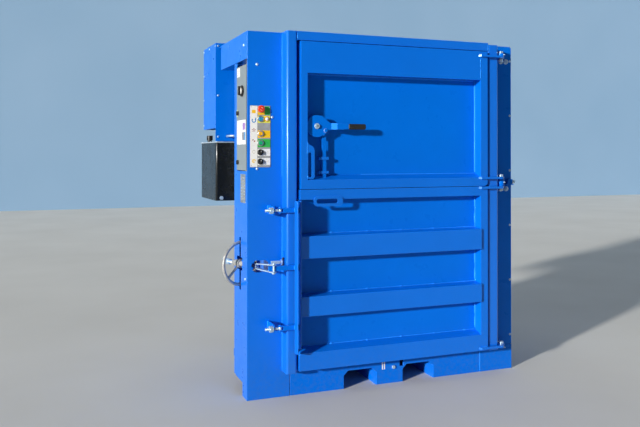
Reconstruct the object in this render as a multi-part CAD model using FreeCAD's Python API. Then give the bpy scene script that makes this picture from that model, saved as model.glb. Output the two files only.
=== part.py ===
import FreeCAD, Part
import os, math

# Low-height upright baler: welded chamber with an upper loading door and a
# lower bale door hinged on the right, side cylinders that pull a press plate
# down, a control cabinet with a screw lock at the left, and an oil tank with
# its motor cover behind the cabinet.
#
# Design coordinates (mm): x = 0 at the cabinet's left side, y = 0 at the front
# sheet of the cabinet (+Y to the back), z = 0 on the floor. OX and OY move the
# whole to the centre of its bounding box in plan.

V = FreeCAD.Vector
os.makedirs("parts", exist_ok=True)

# ---- driving dimensions -------------------------------------------------
OX, OY = -800.48, -486.5      # design origin to bounding box centre
W = 1700.0                   # width over the cabinets
H = 2000.0                   # height of the frame
SH = 3.0                     # sheet thickness
PW, PD = 60.0, 85.0          # door posts, width and depth
XP0, XP1 = 198.0, 1475.0     # left faces of the two door posts
BASE_H = 150.0               # height of the base
FORK_X = (669.0, 1043.0)     # fork pocket centres
FORK_W, FORK_H = 203.0, 100.0
CX0, CX1 = 285.0, 1435.0     # chamber, clear width
CD = 792.0                   # chamber, clear depth
DOOR_F, DOOR_B = -98.0, -3.0 # front and back planes of the door frames
DX0, DX1 = 275.0, 1462.0     # loading door, left and right edges
BX0 = 266.0                  # bale door, left edge
ZL0, ZL1 = 1141.0, 1946.0    # loading door, bottom and top
ZB0, ZB1 = 158.0, 1138.0     # bale door, bottom and top
HX, HY = 1580.0, -60.0       # hinge axis
PIN_R = 10.0                 # hinge pins
RUN = 0.05                   # radial running clearance
STROKE = 740.0               # press stroke
CYL_X = (150.0, 1570.0)      # cylinder axes
CYL_Y = 480.0
BORE_R, ROD_R, BAR_R = 50.0, 32.0, 62.0
ARM_Z = (1030.0, 400.0)      # swing bolt clamps
LOCK_Z = 722.0               # screw lock axis height
LOCK_A = 25.0                # screw lock axis, degrees from +Y towards -X
LPX, LPY = 118.0, -106.0     # pin of the lock yoke
WHEEL_T = 279.0              # wheel centre, from the yoke's pin along the axis
WHEEL_R = 116.0
LEV = (374.0, -72.0, 1485.0) # latch lever pivot
BTN_X = 74.0                 # button column


def box(x0, x1, y0, y1, z0, z1):
    return Part.makeBox(x1 - x0, y1 - y0, z1 - z0, V(x0, y0, z0))


def cyl(x, y, z, dx, dy, dz, r, h):
    return Part.makeCylinder(r, h, V(x, y, z), V(dx, dy, dz))


def ring(x, y, z, dx, dy, dz, ro, ri, h):
    return cyl(x, y, z, dx, dy, dz, ro, h).cut(cyl(x, y, z, dx, dy, dz, ri, h))


def prism(pts, axis, a, b):
    # closed outline in the plane across the axis, drawn out from a to b
    if axis == "z":
        p = [V(u, v, a) for u, v in pts]
        d = V(0, 0, b - a)
    elif axis == "y":
        p = [V(u, a, v) for u, v in pts]
        d = V(0, b - a, 0)
    else:
        p = [V(a, u, v) for u, v in pts]
        d = V(b - a, 0, 0)
    return Part.Face(Part.makePolygon(p + [p[0]])).extrude(d)


def add(*s):
    out = s[0]
    if len(s) > 1:
        out = s[0].multiFuse(list(s[1:]))
    return out.removeSplitter()


def slot(cx, cz, w, h, y0, y1):
    # oblong through a plate that lies across Y
    r = min(w, h) / 2.0
    if w >= h:
        s = box(cx - w / 2 + r, cx + w / 2 - r, y0, y1, cz - r, cz + r)
        return add(s, cyl(cx - w / 2 + r, y0, cz, 0, 1, 0, r, y1 - y0),
                   cyl(cx + w / 2 - r, y0, cz, 0, 1, 0, r, y1 - y0))
    s = box(cx - r, cx + r, y0, y1, cz - h / 2 + r, cz + h / 2 - r)
    return add(s, cyl(cx, y0, cz - h / 2 + r, 0, 1, 0, r, y1 - y0),
               cyl(cx, y0, cz + h / 2 - r, 0, 1, 0, r, y1 - y0))


def hexa(x, y, z, axis, af, h):
    # hexagon head or nut: across flats af, drawn out by h along the axis
    r = af / math.sqrt(3.0)
    pts = [(r * math.cos(math.radians(60 * i)), r * math.sin(math.radians(60 * i)))
           for i in range(6)]
    if axis == "z":
        return prism([(x + a, y + b) for a, b in pts], "z", z, z + h)
    if axis == "y":
        return prism([(x + a, z + b) for a, b in pts], "y", y, y + h)
    return prism([(y + a, z + b) for a, b in pts], "x", x, x + h)


def dome(x, y, z, r, h):
    # domed screw head on a sheet, facing -Y
    rs = (r * r + h * h) / (2 * h)
    s = Part.makeSphere(rs, V(x, y - h + rs, z))
    return s.common(box(x - r - 1, x + r + 1, y - h - 1, y, z - r - 1, z + r + 1))


def rounded(s, pick, r):
    return s.makeFillet(r, [e for e in s.Edges if pick(e)])


def vertical(e):
    return (len(e.Vertexes) == 2 and abs(e.Vertexes[0].X - e.Vertexes[1].X) < 1e-6
            and abs(e.Vertexes[0].Y - e.Vertexes[1].Y) < 1e-6)


def pan(x0, x1, z0, z1, t=5.0, f=DOOR_F, b=DOOR_B):
    # folded rail, open at the back
    return box(x0, x1, f, b, z0, z1).cut(
        box(x0 + t, x1 - t, f + t, b + 1, z0 + t, z1 - t))


N = {}

# ---- base ---------------------------------------------------------------
def pocket_cut(x, y0, y1, grow=0.0):
    c = 26.0
    h = FORK_H + grow
    w = FORK_W / 2 + grow
    return prism([(x - w, -1), (x + w, -1), (x + w, h - c), (x + w - c, h),
                  (x - w + c, h), (x - w, h - c)], "y", y0, y1)


front = box(247, 1468, 0, 10, 0, BASE_H).fuse(box(247, 1468, 10, 90, BASE_H - 8, BASE_H))
for fx in FORK_X:
    front = front.cut(pocket_cut(fx, -1, 95))
front = front.cut(box(922, 945, -1, 11, 92, 127))
N["base_front_beam"] = front.removeSplitter()

rear = box(277, 1443, CD - 2, CD + 8, 0, BASE_H).fuse(
    box(277, 1443, CD - 90, CD - 2, BASE_H - 8, BASE_H))
for fx in FORK_X:
    rear = rear.cut(pocket_cut(fx, CD - 95, CD + 9))
N["base_rear_beam"] = rear.removeSplitter()

N["base_corner_block"] = add(
    box(1470, W, -2, 8, 0, 150), box(W - 10, W, 8, 120, 0, 150),
    box(1470, W - 10, 8, 120, 142, 150))

tun = []
for fx in FORK_X:
    tun.append(pocket_cut(fx, 10, CD - 2, 6.0).cut(pocket_cut(fx, 9, CD - 1))
               .cut(box(0, W, -5, CD + 5, -5, 0)))
N["fork_tunnels"] = Part.makeCompound(tun)

cross = box(60, 1640, 440, 520, 106.5, 150).cut(box(59, 1641, 446, 514, 112, 144))
rails = [box(277, 285, 90, CD - 90, 0, 150), box(1435, 1443, 90, CD - 90, 0, 150)]
N["base_side_rails"] = Part.makeCompound(
    [r.cut(box(0, W, 439.5, 520.5, 106, 151)) for r in rails])
N["base_cross_beam"] = cross

# ---- chamber ------------------------------------------------------------
floor = box(CX0, CX1, 0, CD - 2, 150, 158)
for i in range(4):
    fx = 420 + i * 293.0
    floor = floor.cut(box(fx - 15, fx + 15, 60, CD - 60, 149, 159))
N["chamber_floor"] = floor

lw = box(CX0 - 8, CX0, 6, CD, 150, 1994).fuse(box(247, CX0, 0, 6, 150, 1994))
lw = lw.cut(box(CX0 - 9, CX0 + 1, 430, 530, 1060, 1950))
N["chamber_left_wall"] = lw.removeSplitter()
rw = box(CX1, CX1 + 8, 6, CD, 150, 1994).fuse(box(CX1, 1544, 0, 6, 150, 1994))
rw = rw.cut(box(CX1 - 1, CX1 + 9, 430, 530, 1060, 1950))
N["chamber_right_wall"] = rw.removeSplitter()
bw = box(CX0 - 8, CX1 + 8, CD, CD + 8, 150, 1994)
for i in range(4):
    fx = 420 + i * 293.0
    bw = bw.cut(slot(fx, 640, 30, 800, CD - 1, CD + 9))
N["chamber_back_wall"] = bw
ribs = [box(CX0 - 8, CX1 + 8, CD + 8, CD + 68, z, z + 60).cut(
    box(CX0 - 9, CX1 + 9, CD + 12, CD + 64, z + 4, z + 56)) for z in (1120, 1500, 1900)]
N["back_wall_ribs"] = Part.makeCompound(ribs)

roof = box(SH + 1, W - SH - 1, 4, 686, H - 6, H).fuse(box(262, W - SH - 1, 686, CD + 8, H - 6, H))
N["roof_plate"] = roof.removeSplitter()

# ---- door surround -------------------------------------------------------
def post(x0, z0, z1, w=PW):
    s = box(x0, x0 + w, -PD, 0, z0, z1)
    s = rounded(s, lambda e: vertical(e) and e.Vertexes[0].Y < -PD + 1, 12.0)
    return s.cut(box(x0 + 6, x0 + w - 6, -PD + 6, -6, z0 - 1, z1 - 6))


lp = post(XP0, 143, H)
lp = lp.cut(prism([(-PD - 1, 142), (-PD + 12, 142), (-PD - 1, 148)], "x", XP0 - 1, XP0 + PW + 1))
N["left_door_post"] = lp
N["right_door_post"] = post(XP1, 151, 1990, 72.0)
N["top_front_beam"] = box(XP0 + PW, XP1, -PD, 0, 1952, H).cut(
    box(XP0 + PW - 1, XP1 + 1, -PD + 6, 1, 1958, H - 6))
N["right_front_panel"] = box(1546, W, 0, SH, 151, 1993.5)
N["right_side_cover"] = add(
    box(W - SH, W, SH, 640, 151, 1993.5), box(1450, W - SH, 637, 640, 151, 1993.5),
    box(W - SH - 20, W - SH, SH, 2 * SH, 151, 1993.5),
    box(W - SH, W, 125, 640, 20, 151), box(1450, W - SH, 637, 640, 20, 151))

# ---- cabinet -------------------------------------------------------------
cf = box(0, 242, 0, SH, 0, H)
cf = cf.cut(slot(75, LOCK_Z, 100, 65, -1, SH + 1))
N["cabinet_front_panel"] = cf.removeSplitter()

sp = box(0, SH, SH, 240, 73, 1238).fuse(box(0, SH, SH, 95, 0, 73))
sp = sp.cut(box(-1, SH + 1, 101, 218, LOCK_Z - 36, LOCK_Z + 36))
sp = sp.cut(box(-1, SH + 1, 131, 165, LOCK_Z - 146, LOCK_Z + 146))
N["cabinet_side_panel"] = sp.removeSplitter()
N["cabinet_rear_post"] = add(box(SH, 2 * SH, 226, 286, 73, 1848), box(2 * SH, 50, 283, 286, 73, 1848))
N["header_panel"] = add(box(0, SH, SH, 610, 1850, H - 0.5), box(SH, 80, SH, 610, 1850, 1850 + SH))

# ---- power pack ----------------------------------------------------------
mx0, mx1, my0, my1, mz1 = -15.0, 250.0, 690.0, 1043.0, 2030.0
mc = add(box(mx0, mx1, my0, my0 + 3, 1412, mz1 - 3), box(mx0, mx0 + 3, my0 + 3, my1 - 3, 1494, mz1 - 3),
         box(mx1 - 3, mx1, my0 + 3, my1 - 3, 1494, mz1 - 3),
         box(mx0, mx1, my1 - 3, my1, 1494, mz1 - 3), box(mx0, mx1, my0, my1, mz1 - 3, mz1))
N["motor_cover"] = mc.cut(cyl(60, 688, 1445, 0, 1, 0, 9, 8)).cut(cyl(100, 688, 1445, 0, 1, 0, 9, 8))
tank = box(-15, 250, 680, 1119, 1038, 1403)
tank = rounded(tank, vertical, 12.0)
tank = tank.cut(box(-11, 246, 684, 1115, 1042, 1404))
N["oil_tank"] = tank.cut(cyl(20, 681, 1056, 0, -1, 0, 9, 20).fuse(cyl(20, 690, 1056, 0, -1, 0, 9, 20)))
N["drain_plug"] = add(cyl(20, 686, 1056, 0, -1, 0, 9, 6), hexa(20, 672, 1056, "y", 22, 8))
lid = box(-19, 254, 676, 1123, 1403, 1409)
lid = lid.cut(cyl(10, 970, 1402, 0, 0, 1, 12, 8)).cut(cyl(150, 900, 1402, 0, 0, 1, 60, 8))
N["tank_lid"] = lid
N["breather_cap"] = add(cyl(10, 970, 1396, 0, 0, 1, 11.9, 14), cyl(10, 970, 1409, 0, 0, 1, 14, 12),
                        cyl(10, 970, 1421, 0, 0, 1, 20, 32))
N["pump_motor"] = add(cyl(150, 900, 1330, 0, 0, 1, 56, 79), cyl(150, 900, 1409, 0, 0, 1, 98, 16),
                      cyl(150, 900, 1425, 0, 0, 1, 80, 390), cyl(150, 900, 1815, 0, 0, 1, 84, 60))
N["motor_terminal_box"] = box(178, 238, 800, 830, 1600, 1690).cut(
    cyl(150, 900, 1590, 0, 0, 1, 80.2, 120))
N["valve_block"] = add(box(40, 140, 710, 780, 1409, 1480),
                       cyl(65, 745, 1480, 0, 0, 1, 16, 60), cyl(115, 745, 1480, 0, 0, 1, 16, 60))
N["tank_brackets"] = Part.makeCompound([box(250, 277, 692, 700, 1060, 1380), box(250, 277, 780, 788, 1060, 1380)])
N["motor_cover_bracket"] = box(250, 277, 700, 780, 1700, 1706)

# ---- hydraulic pipes -----------------------------------------------------
def pipe(pts, r, rb):
    # straight runs joined by tangent arcs, swept with a round section
    P = [V(*p) for p in pts]
    edges = []
    cur = P[0]
    for i in range(1, len(P) - 1):
        a = (P[i - 1] - P[i]).normalize()
        b = (P[i + 1] - P[i]).normalize()
        turn = math.pi - a.getAngle(b)
        t = rb * math.tan(turn / 2)
        p1 = P[i] + a * t
        p2 = P[i] + b * t
        m = (a + b).normalize()
        c = P[i] + m * math.sqrt(t * t + rb * rb)
        mid = c - m * rb
        edges.append(Part.LineSegment(cur, p1).toShape())
        edges.append(Part.Arc(p1, mid, p2).toShape())
        cur = p2
    edges.append(Part.LineSegment(cur, P[-1]).toShape())
    w = Part.Wire(edges)
    d = (P[1] - P[0]).normalize()
    prof = Part.Wire([Part.makeCircle(r, P[0], d)])
    return w.makePipeShell([prof], True, True)


N["hydraulic_pipes"] = Part.makeCompound([
    pipe([(60, 710, 1445), (60, 610, 1445), (130, 610, 1445), (130, 610, 1012), (130, 542, 1012)], 7, 30),
    pipe([(100, 710, 1445), (100, 640, 1445), (210, 640, 1445), (210, 640, 210), (150, 640, 210),
          (150, 542, 210)], 7, 22)])

# ---- cylinders -----------------------------------------------------------
for side, cx in (("left", CYL_X[0]), ("right", CYL_X[1])):
    b = cyl(cx, CYL_Y, 160, 0, 0, 1, BAR_R, 880).cut(cyl(cx, CYL_Y, 180, 0, 0, 1, BORE_R, 861))
    b = b.fuse(box(cx - 70, cx + 70, CYL_Y - 40, CYL_Y + 40, 150, 166))
    N[side + "_cylinder_barrel"] = b.removeSplitter()
    N[side + "_cylinder_gland"] = add(
        ring(cx, CYL_Y, 1040, 0, 0, 1, BAR_R, ROD_R + RUN, 18),
        ring(cx, CYL_Y, 1010, 0, 0, 1, BORE_R - 0.01, ROD_R + RUN, 30))
    N[side + "_cylinder_rod"] = add(
        cyl(cx, CYL_Y, 960, 0, 0, 1, BORE_R - RUN, 30), cyl(cx, CYL_Y, 990, 0, 0, 1, ROD_R, 840),
        cyl(cx, CYL_Y, 1830, 0, 0, 1, 20, 128))
N["rod_nuts"] = Part.makeCompound([
    hexa(cx, CYL_Y, 1930, "z", 62, 24).cut(cyl(cx, CYL_Y, 1929, 0, 0, 1, 20, 30)) for cx in CYL_X])

# ---- press ---------------------------------------------------------------
pp = box(CX0 + 6, CX1 - 6, 8, CD - 8, 1780, 1795)
for i in range(4):
    fx = 420 + i * 293.0
    pp = pp.cut(box(fx - 12, fx + 12, 7, CD - 7, 1779, 1787))
pp = add(pp, box(CX0 + 6, CX1 - 6, 8, 16, 1795, 1870), box(CX0 + 6, CX1 - 6, CD - 16, CD - 8, 1795, 1870),
         box(CX0 + 6, CX0 + 14, 16, CD - 16, 1795, 1829.5), box(CX1 - 14, CX1 - 6, 16, CD - 16, 1795, 1829.5),
         box(CX0 + 14, CX1 - 14, 250, 258, 1795, 1870), box(CX0 + 14, CX1 - 14, 600, 608, 1795, 1870))
N["press_plate"] = pp
cb = box(90, 1630, 442, 518, 1830, 1930).cut(box(89, 1631, 450, 510, 1838, 1922))
for cx in CYL_X:
    cb = cb.cut(cyl(cx, CYL_Y, 1829, 0, 0, 1, 20, 102))
N["press_crossbeam"] = cb
N["crossbeam_risers"] = Part.makeCompound([box(x - 5, x + 5, 442, 518, 1795, 1830) for x in (500, 860, 1220)])
# ---- hinges --------------------------------------------------------------
def hinge_plate(z0, z1, xa=1400.0):
    s = prism([(xa, DOOR_F), (xa + 12, -112), (1562, -112), (HX + 21, -68), (HX + 21, -58),
               (HX - 22, -58), (1551, -86), (1551, -89), (1464, -89), (1464, DOOR_F)], "z", z0, z1)
    s = s.fuse(cyl(HX, HY, z0, 0, 0, 1, 22, z1 - z0))
    return s.cut(cyl(HX, HY, z0 - 1, 0, 0, 1, PIN_R + RUN, z1 - z0 + 2)).removeSplitter()


N["load_door_hinge_plates"] = Part.makeCompound([hinge_plate(1913, 1925), hinge_plate(1182, 1194)])
N["bale_door_hinge_plates"] = Part.makeCompound([hinge_plate(1124, 1136), hinge_plate(166, 178)])


def lug(z0, z1):
    s = prism([(HX - 24, 0), (HX - 24, -40), (HX - 20, HY), (HX + 20, HY), (1640, 0)], "z", z0, z1)
    s = s.fuse(cyl(HX, HY, z0, 0, 0, 1, 22, z1 - z0))
    return s.cut(cyl(HX, HY, z0 - 1, 0, 0, 1, PIN_R, z1 - z0 + 2)).removeSplitter()


N["hinge_lugs"] = Part.makeCompound([lug(1925.5, 1945), lug(1136.5, 1181.5), lug(151, 165.5)])
pins = [
    add(cyl(HX, HY, 1904, 0, 0, 1, PIN_R, 46), hexa(HX, HY, 1945.2, "z", 30, 12), cyl(HX, HY, 1896, 0, 0, 1, 15, 16.6)),
    add(cyl(HX, HY, 1112, 0, 0, 1, PIN_R, 94), hexa(HX, HY, 1194.5, "z", 30, 12), cyl(HX, HY, 1108, 0, 0, 1, 15, 15.5)),
    add(cyl(HX, HY, 151, 0, 0, 1, PIN_R, 40), hexa(HX, HY, 178.5, "z", 30, 12))]
N["hinge_pins"] = Part.makeCompound(pins)
N["hinge_bolts"] = Part.makeCompound([
    add(cyl(1688, -14, 1159, 1, 0, 0, 8, 27), hexa(1688, -14, 1159, "x", 24, 12)),
    hexa(1622, -12, 1116, "y", 24, 12),
    hexa(1622, -12, 1905, "y", 24, 12), hexa(1660, -12, 1905, "y", 24, 12),
    hexa(1660, -12, 1116, "y", 24, 12)])
N["hinge_bolt_bracket"] = box(1640, 1698, -30, 0, 1140, 1145).fuse(
    box(1655, 1688, -30, 0, 1145, 1176)).cut(box(1654, 1676, -26, 1, 1145, 1177)).removeSplitter()

# ---- loading door --------------------------------------------------------
XS0, XS1 = 312.0, 1414.0
ft = pan(DX0, DX1, 1774, ZL1)
fl = box(DX0, XS0, DOOR_F, DOOR_B, 1191, 1774).cut(box(DX0 + 5, XS0 - 5, DOOR_F + 5, DOOR_B + 1, 1190, 1775))
fr = box(XS1, DX1, DOOR_F, DOOR_B, 1191, 1774).cut(box(XS1 + 5, DX1 - 5, DOOR_F + 5, DOOR_B + 1, 1190, 1775))
fb = prism([(DOOR_F, ZL0), (DOOR_F, 1191), (-33, 1215), (DOOR_B, 1215), (DOOR_B, ZL0)], "x", DX0, DX1)
fb = rounded(fb, lambda e: len(e.Vertexes) == 2 and all(abs(v.X - DX1) < 1e-6 and abs(v.Z - ZL0) < 1e-6
                                                       for v in e.Vertexes), 24.0)
fb = fb.cut(prism([(DOOR_F + 5, ZL0 + 5), (DOOR_F + 5, 1186), (-36, 1208), (DOOR_B + 1, 1208),
                   (DOOR_B + 1, ZL0 + 5)], "x", DX0 + 5, DX1 - 26))
lf = add(ft, fl, fr, fb)
lf = lf.cut(box(407, 435, -69, -55, ZL0 - 1, 1230))
N["load_door_frame"] = lf
N["load_door_panel"] = box(XS0, XS1, -33, -28, 1215, 1774)
hp = prism([(XS0, 1197), (345, 1197), (353, 1205), (353, 1350), (349, 1364), (338, 1376), (322, 1383), (XS0, 1400)],
           "y", DOOR_F, DOOR_F + 8)
N["load_door_pull"] = hp.cut(slot(326, 1273, 22, 136, DOOR_F - 1, DOOR_F + 9))

# latch lever: round plate, arm that steps outwards, grip
PX, PY, PZ = LEV
plate = cyl(PX, PY, PZ, 0, -1, 0, 60, 8)
neck = prism([(PX + 5, PZ + 59), (PX + 30, PZ + 57), (PX + 56, PZ + 36), (PX + 76, PZ + 20), (PX + 84, PZ + 17),
              (PX + 84, PZ - 18), (PX + 70, PZ - 22), (PX + 40, PZ - 52)], "y", PY - 8, PY)
step = prism([(PX + 84, PY), (PX + 84, PY - 8), (PX + 112, PY - 30), (PX + 150, PY - 30), (PX + 150, PY - 22),
              (PX + 115, PY - 22)], "z", PZ - 18, PZ + 17)
bar = box(PX + 150, PX + 279, PY - 30, PY - 22, PZ - 16, PZ + 14)
lever = add(plate, neck, step, bar)
lever = lever.cut(cyl(PX, PY + 1, PZ, 0, -1, 0, 10 + RUN, 10)).cut(cyl(PX + 50, PY + 1, PZ - 24, 0, -1, 0, 6, 10))
N["latch_lever"] = lever
grip = box(PX + 179, PX + 283, PY - 37, PY - 15, PZ - 18, PZ + 15)
grip = grip.makeFillet(7.0, grip.Edges)
N["latch_grip"] = grip.cut(box(PX + 178, PX + 279, PY - 30, PY - 22, PZ - 16, PZ + 14))
N["latch_pivot"] = add(cyl(PX, -33, PZ, 0, -1, 0, 16, 38.7), cyl(PX, -71, PZ, 0, -1, 0, 10, 10),
                       hexa(PX, PY - 18, PZ, "y", 22, 9.5))
PINX, PINZ = PX + 50, PZ - 24
N["latch_drive_pin"] = add(cyl(PINX, PY - 12, PINZ, 0, 1, 0, 6, 12), cyl(PINX, PY - 14, PINZ, 0, 1, 0, 10, 6),
                           cyl(PINX, PY, PINZ, 0, 1, 0, 6, 16))
rodh = box(402, 448, -66, -58, PINZ - 18, PINZ + 18)
rodh = rodh.cut(slot(425.0, PINZ, 32, 18, -67, -57))
N["latch_rod"] = add(rodh, box(409, 433, -66, -58, 1102, PINZ - 18))
N["latch_rod_guides"] = Part.makeCompound([
    box(396, 446, -71, -33, 1300, 1316).cut(box(408, 434, -67, -57, 1299, 1317)),
    box(396, 446, -71, -33, 1224, 1238).cut(box(408, 434, -67, -57, 1223, 1239))])

# ---- bale door -----------------------------------------------------------
bt = pan(BX0 + 4, DX1, 1084, ZB1)
bt = bt.cut(box(407, 435, -69, -55, 1083, ZB1 + 1))
bb = prism([(DOOR_F, ZB0), (DOOR_F, 253), (-35, 275), (DOOR_B, 275), (DOOR_B, ZB0)], "x", BX0, DX1)
bb = rounded(bb, lambda e: len(e.Vertexes) == 2 and all(abs(v.X - BX0) < 1e-6 and abs(v.Z - 253) < 1e-6
                                                       or abs(v.X - BX0) < 1e-6 and abs(v.Z - 275) < 1e-6 and v.Y < -30
                                                       for v in e.Vertexes), 14.0)
bb = bb.cut(prism([(DOOR_F + 5, ZB0 + 5), (DOOR_F + 5, 248), (-38, 268), (DOOR_B + 1, 268), (DOOR_B + 1, ZB0 + 5)],
                  "x", BX0 + 16, DX1 - 5))
bl = box(BX0, BX0 + 25, -40, DOOR_B, 258, 1086).cut(box(BX0 + 5, BX0 + 20, -35, DOOR_B + 1, 280, 1087))
br = prism([(DOOR_F, 251), (-35, 273), (DOOR_B, 273), (DOOR_B, 1086), (DOOR_F, 1086)], "x", XS1, DX1)
br = br.cut(prism([(DOOR_F + 5, 260), (-36, 280), (DOOR_B + 1, 280), (DOOR_B + 1, 1087), (DOOR_F + 5, 1087)],
                  "x", XS1 + 5, DX1 - 5))
N["bale_door_frame"] = add(bt, bb, bl, br)
N["bale_door_panel"] = box(BX0 + 25, XS1, -35, -29, 275, 1084)


def rib(z0, z1):
    s = prism([(-110, z0 + 4), (-110, z1 - 4), (-35, z1 + 3), (-35, z0)], "x", BX0 + 9, XS1)
    return s.cut(prism([(-105, z0 + 9), (-105, z1 - 9), (-34, z1 - 4), (-34, z0 + 5)], "x", BX0 + 14, XS1 - 5))


rb = [rib(761, 890), rib(448, 563)]
N["bale_door_ribs"] = Part.makeCompound([
    r.cut(box(BX0, BX0 + 25.0, -40, DOOR_B, 200, 1100)) for r in rb])
flange = box(BX0, BX0 + 9, -110, -40, 276, 1080)
edge = box(235, 243, -150, -105, 261, 1080)
edge = rounded(edge, lambda e: len(e.Vertexes) == 2 and abs(e.Vertexes[0].Y + 150) < 1e-6
               and abs(e.Vertexes[1].Y + 150) < 1e-6 and abs(e.Vertexes[0].Z - e.Vertexes[1].Z) < 1e-6, 14.0)
N["bale_door_edge_plate"] = Part.makeCompound([flange, edge])
bp = box(347, 518, DOOR_F - 6, DOOR_F, 1046, 1101)
bp = rounded(bp, lambda e: len(e.Vertexes) == 2 and abs(e.Vertexes[0].Y - e.Vertexes[1].Y) > 1, 22.0)
N["bale_door_pull"] = bp.cut(slot(425, 1074, 126, 26, DOOR_F - 7, DOOR_F + 1))

AY0, AY1 = -105.0, -88.0
AYM = (AY0 + AY1) / 2
arms = []
for az in ARM_Z:
    a = box(142, BX0, AY0, AY1, az - 12.5, az + 12.5)
    a = a.cut(box(141, 174, AY0 - 1, AY1 + 1, az - 8.5, az + 8.5))
    a = a.cut(cyl(156, AYM, az - 20, 0, 0, 1, 5.0, 40))
    arms.append(a)
N["clamp_arms"] = Part.makeCompound(arms)
N["clamp_pins"] = Part.makeCompound([
    add(cyl(156, AYM, az - 18, 0, 0, 1, 5.0, 36), cyl(156, AYM, az + 12.5, 0, 0, 1, 8, 5)) for az in ARM_Z])
la = box(92, BX0, AY0, AY1, LOCK_Z - 12.5, LOCK_Z + 12.5)
la = la.cut(cyl(LPX, LPY, LOCK_Z - 20, 0, 0, 1, 6.35, 40))
N["lock_arm"] = la

for nm, az in (("top", ARM_Z[0]), ("bottom", ARM_Z[1])):
    s = add(cyl(156, AYM, az - 8.2, 0, 0, 1, 8.4, 16.4), cyl(150, AYM, az, -1, 0, 0, 8, 77))
    N["swing_bolt_" + nm] = s.cut(cyl(156, AYM, az - 10, 0, 0, 1, 5.0 + RUN, 20))
    nut = hexa(96, AYM, az, "x", 32, 16).cut(
        cyl(90, AYM, az, 1, 0, 0, 8.0 + RUN, 30))
    N["clamp_nut_" + nm] = nut
catches = []
for az in ARM_Z:
    c = prism([(0, az - 24), (-96, az - 24), (-110, az - 15), (-110, az + 15), (-96, az + 24), (0, az + 24)],
              "x", 116, 124)
    c = c.cut(box(115, 125, -111, AYM, az - 9.5, az + 9.5)).cut(cyl(115, AYM, az, 1, 0, 0, 9.5, 10))
    catches.append(c)
N["clamp_catches"] = Part.makeCompound(catches)

# ---- screw lock: local y runs along the lock's axis ----------------------
def lock(s):
    s = s.copy()
    s.rotate(V(0, 0, 0), V(0, 0, 1), LOCK_A)
    s.translate(V(LPX, LPY, LOCK_Z))
    return s


yk = prism([(-8, -22.5), (-8, 22.5), (12, 22.5), (150, 15), (150, -15), (12, -22.5)], "x", -11, 11)
yk = yk.cut(prism([(-20, -16.5), (-20, 16.5), (10, 16.5), (134, 10), (134, -10), (10, -16.5)], "x", -12, 12))
N["lock_yoke"] = lock(yk.cut(cyl(0, 0, -30, 0, 0, 1, 6, 60)))
N["lock_yoke_pin"] = lock(add(cyl(0, 0, -27, 0, 0, 1, 6, 54), cyl(0, 0, 22.5, 0, 0, 1, 9, 6),
                              cyl(0, 0, -28.5, 0, 0, 1, 9, 6)))
N["lock_spindle"] = lock(cyl(0, 150, 0, 0, 1, 0, 11, 250))
N["spindle_end_fork"] = lock(add(cyl(0, 366, 0, 0, 1, 0, 16, 26), box(-9, 9, 392, 432, 7, 15),
                                 box(-9, 9, 392, 432, -15, -7)).cut(cyl(0, 365, 0, 0, 1, 0, 11, 36)))
hub = add(cyl(0, 232, 0, 0, 1, 0, 15, 40), cyl(0, 268, 0, 0, 1, 0, 24, 22),
          Part.makeCone(22, 14, 44, V(0, 290, 0), V(0, 1, 0)))
wheel = [hub, Part.makeTorus(WHEEL_R, 9, V(0, WHEEL_T, 0), V(0, 1, 0))]
for ang in (221.0, 41.0):
    dx, dz = math.cos(math.radians(ang)), math.sin(math.radians(ang))
    wheel.append(cyl(dx * 15, WHEEL_T, dz * 15, dx, 0, dz, 6.5, WHEEL_R - 16))
wh = wheel[0].multiFuse(wheel[1:])
N["handwheel"] = lock(wh.cut(cyl(0, 220, 0, 0, 1, 0, 11 + RUN, 130)))
blk = box(-13.9, 48, 244, 258, -40, 40).cut(cyl(0, 243, 0, 0, 1, 0, 15 + RUN, 20))
blk = blk.cut(box(-30, 0, 240, 262, -60, 60).cut(box(-30, 0, 240, 262, -21, 21)))
blk = lock(blk)
tie = []
for z in (LOCK_Z - 46, LOCK_Z + 40):
    tie.append(prism([(30, SH), (150, SH), (62, 141), (14, 119)], "z", z, z + 6))
N["lock_bearing_bracket"] = add(blk, *tie).cut(box(-40, SH + 0.6, 0, 300, 600, 800))

N["lock_rest_rod"] = add(cyl(198, -38, 744, -1, 0, 0, 8, 78), cyl(186, -38, 744, -1, 0, 0, 14, 7),
                         box(193, 198, -46, -30, 744, 806))

# ---- control box and its door --------------------------------------------
N["control_box"] = Part.makeCompound([
    box(246, 250, 20, 222, 1242, 1820), box(17.5, 246, 20, 222, 1242, 1246), box(17.5, 246, 20, 222, 1816, 1820),
    box(17.5, 246, 20, 24, 1246, 1816), box(17.5, 246, 218, 222, 1246, 1816)])
cd = box(0, 2, 20, 222, 1242, 1820)
cd = cd.cut(cyl(-1, 96, 1680, 1, 0, 0, 8.3, 5)).cut(cyl(-1, 186, 1561, 1, 0, 0, 8.3, 5)).cut(
    cyl(-1, 186, 1285, 1, 0, 0, 8.3, 5))
N["control_box_door"] = Part.makeCompound([
    cd, box(2, 17, 20, 222, 1242, 1246), box(2, 17, 20, 222, 1816, 1820),
    box(2, 17, 20, 24, 1246, 1816), box(2, 17, 218, 222, 1246, 1816)])
HBX, HBY = 8.0, 14.0
kn_fix, kn_mov = [], []
for z in (1360, 1700):
    kn_fix += [ring(HBX, HBY, z - 30, 0, 0, 1, 5, 2.5 + RUN, 29.5).fuse(
        box(HBX + 3.5, 20, HBY - 2, HBY + 2, z - 30, z - 0.5)).fuse(
        box(18.05, 20.05, HBY - 2, 20, z - 30, z - 0.5))]
    kn_mov += [ring(HBX, HBY, z, 0, 0, 1, 5, 2.5 + RUN, 29.5).fuse(
        box(HBX - 4, HBX + 4, HBY + 3.5, 20, z, z + 29.5))]
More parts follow.
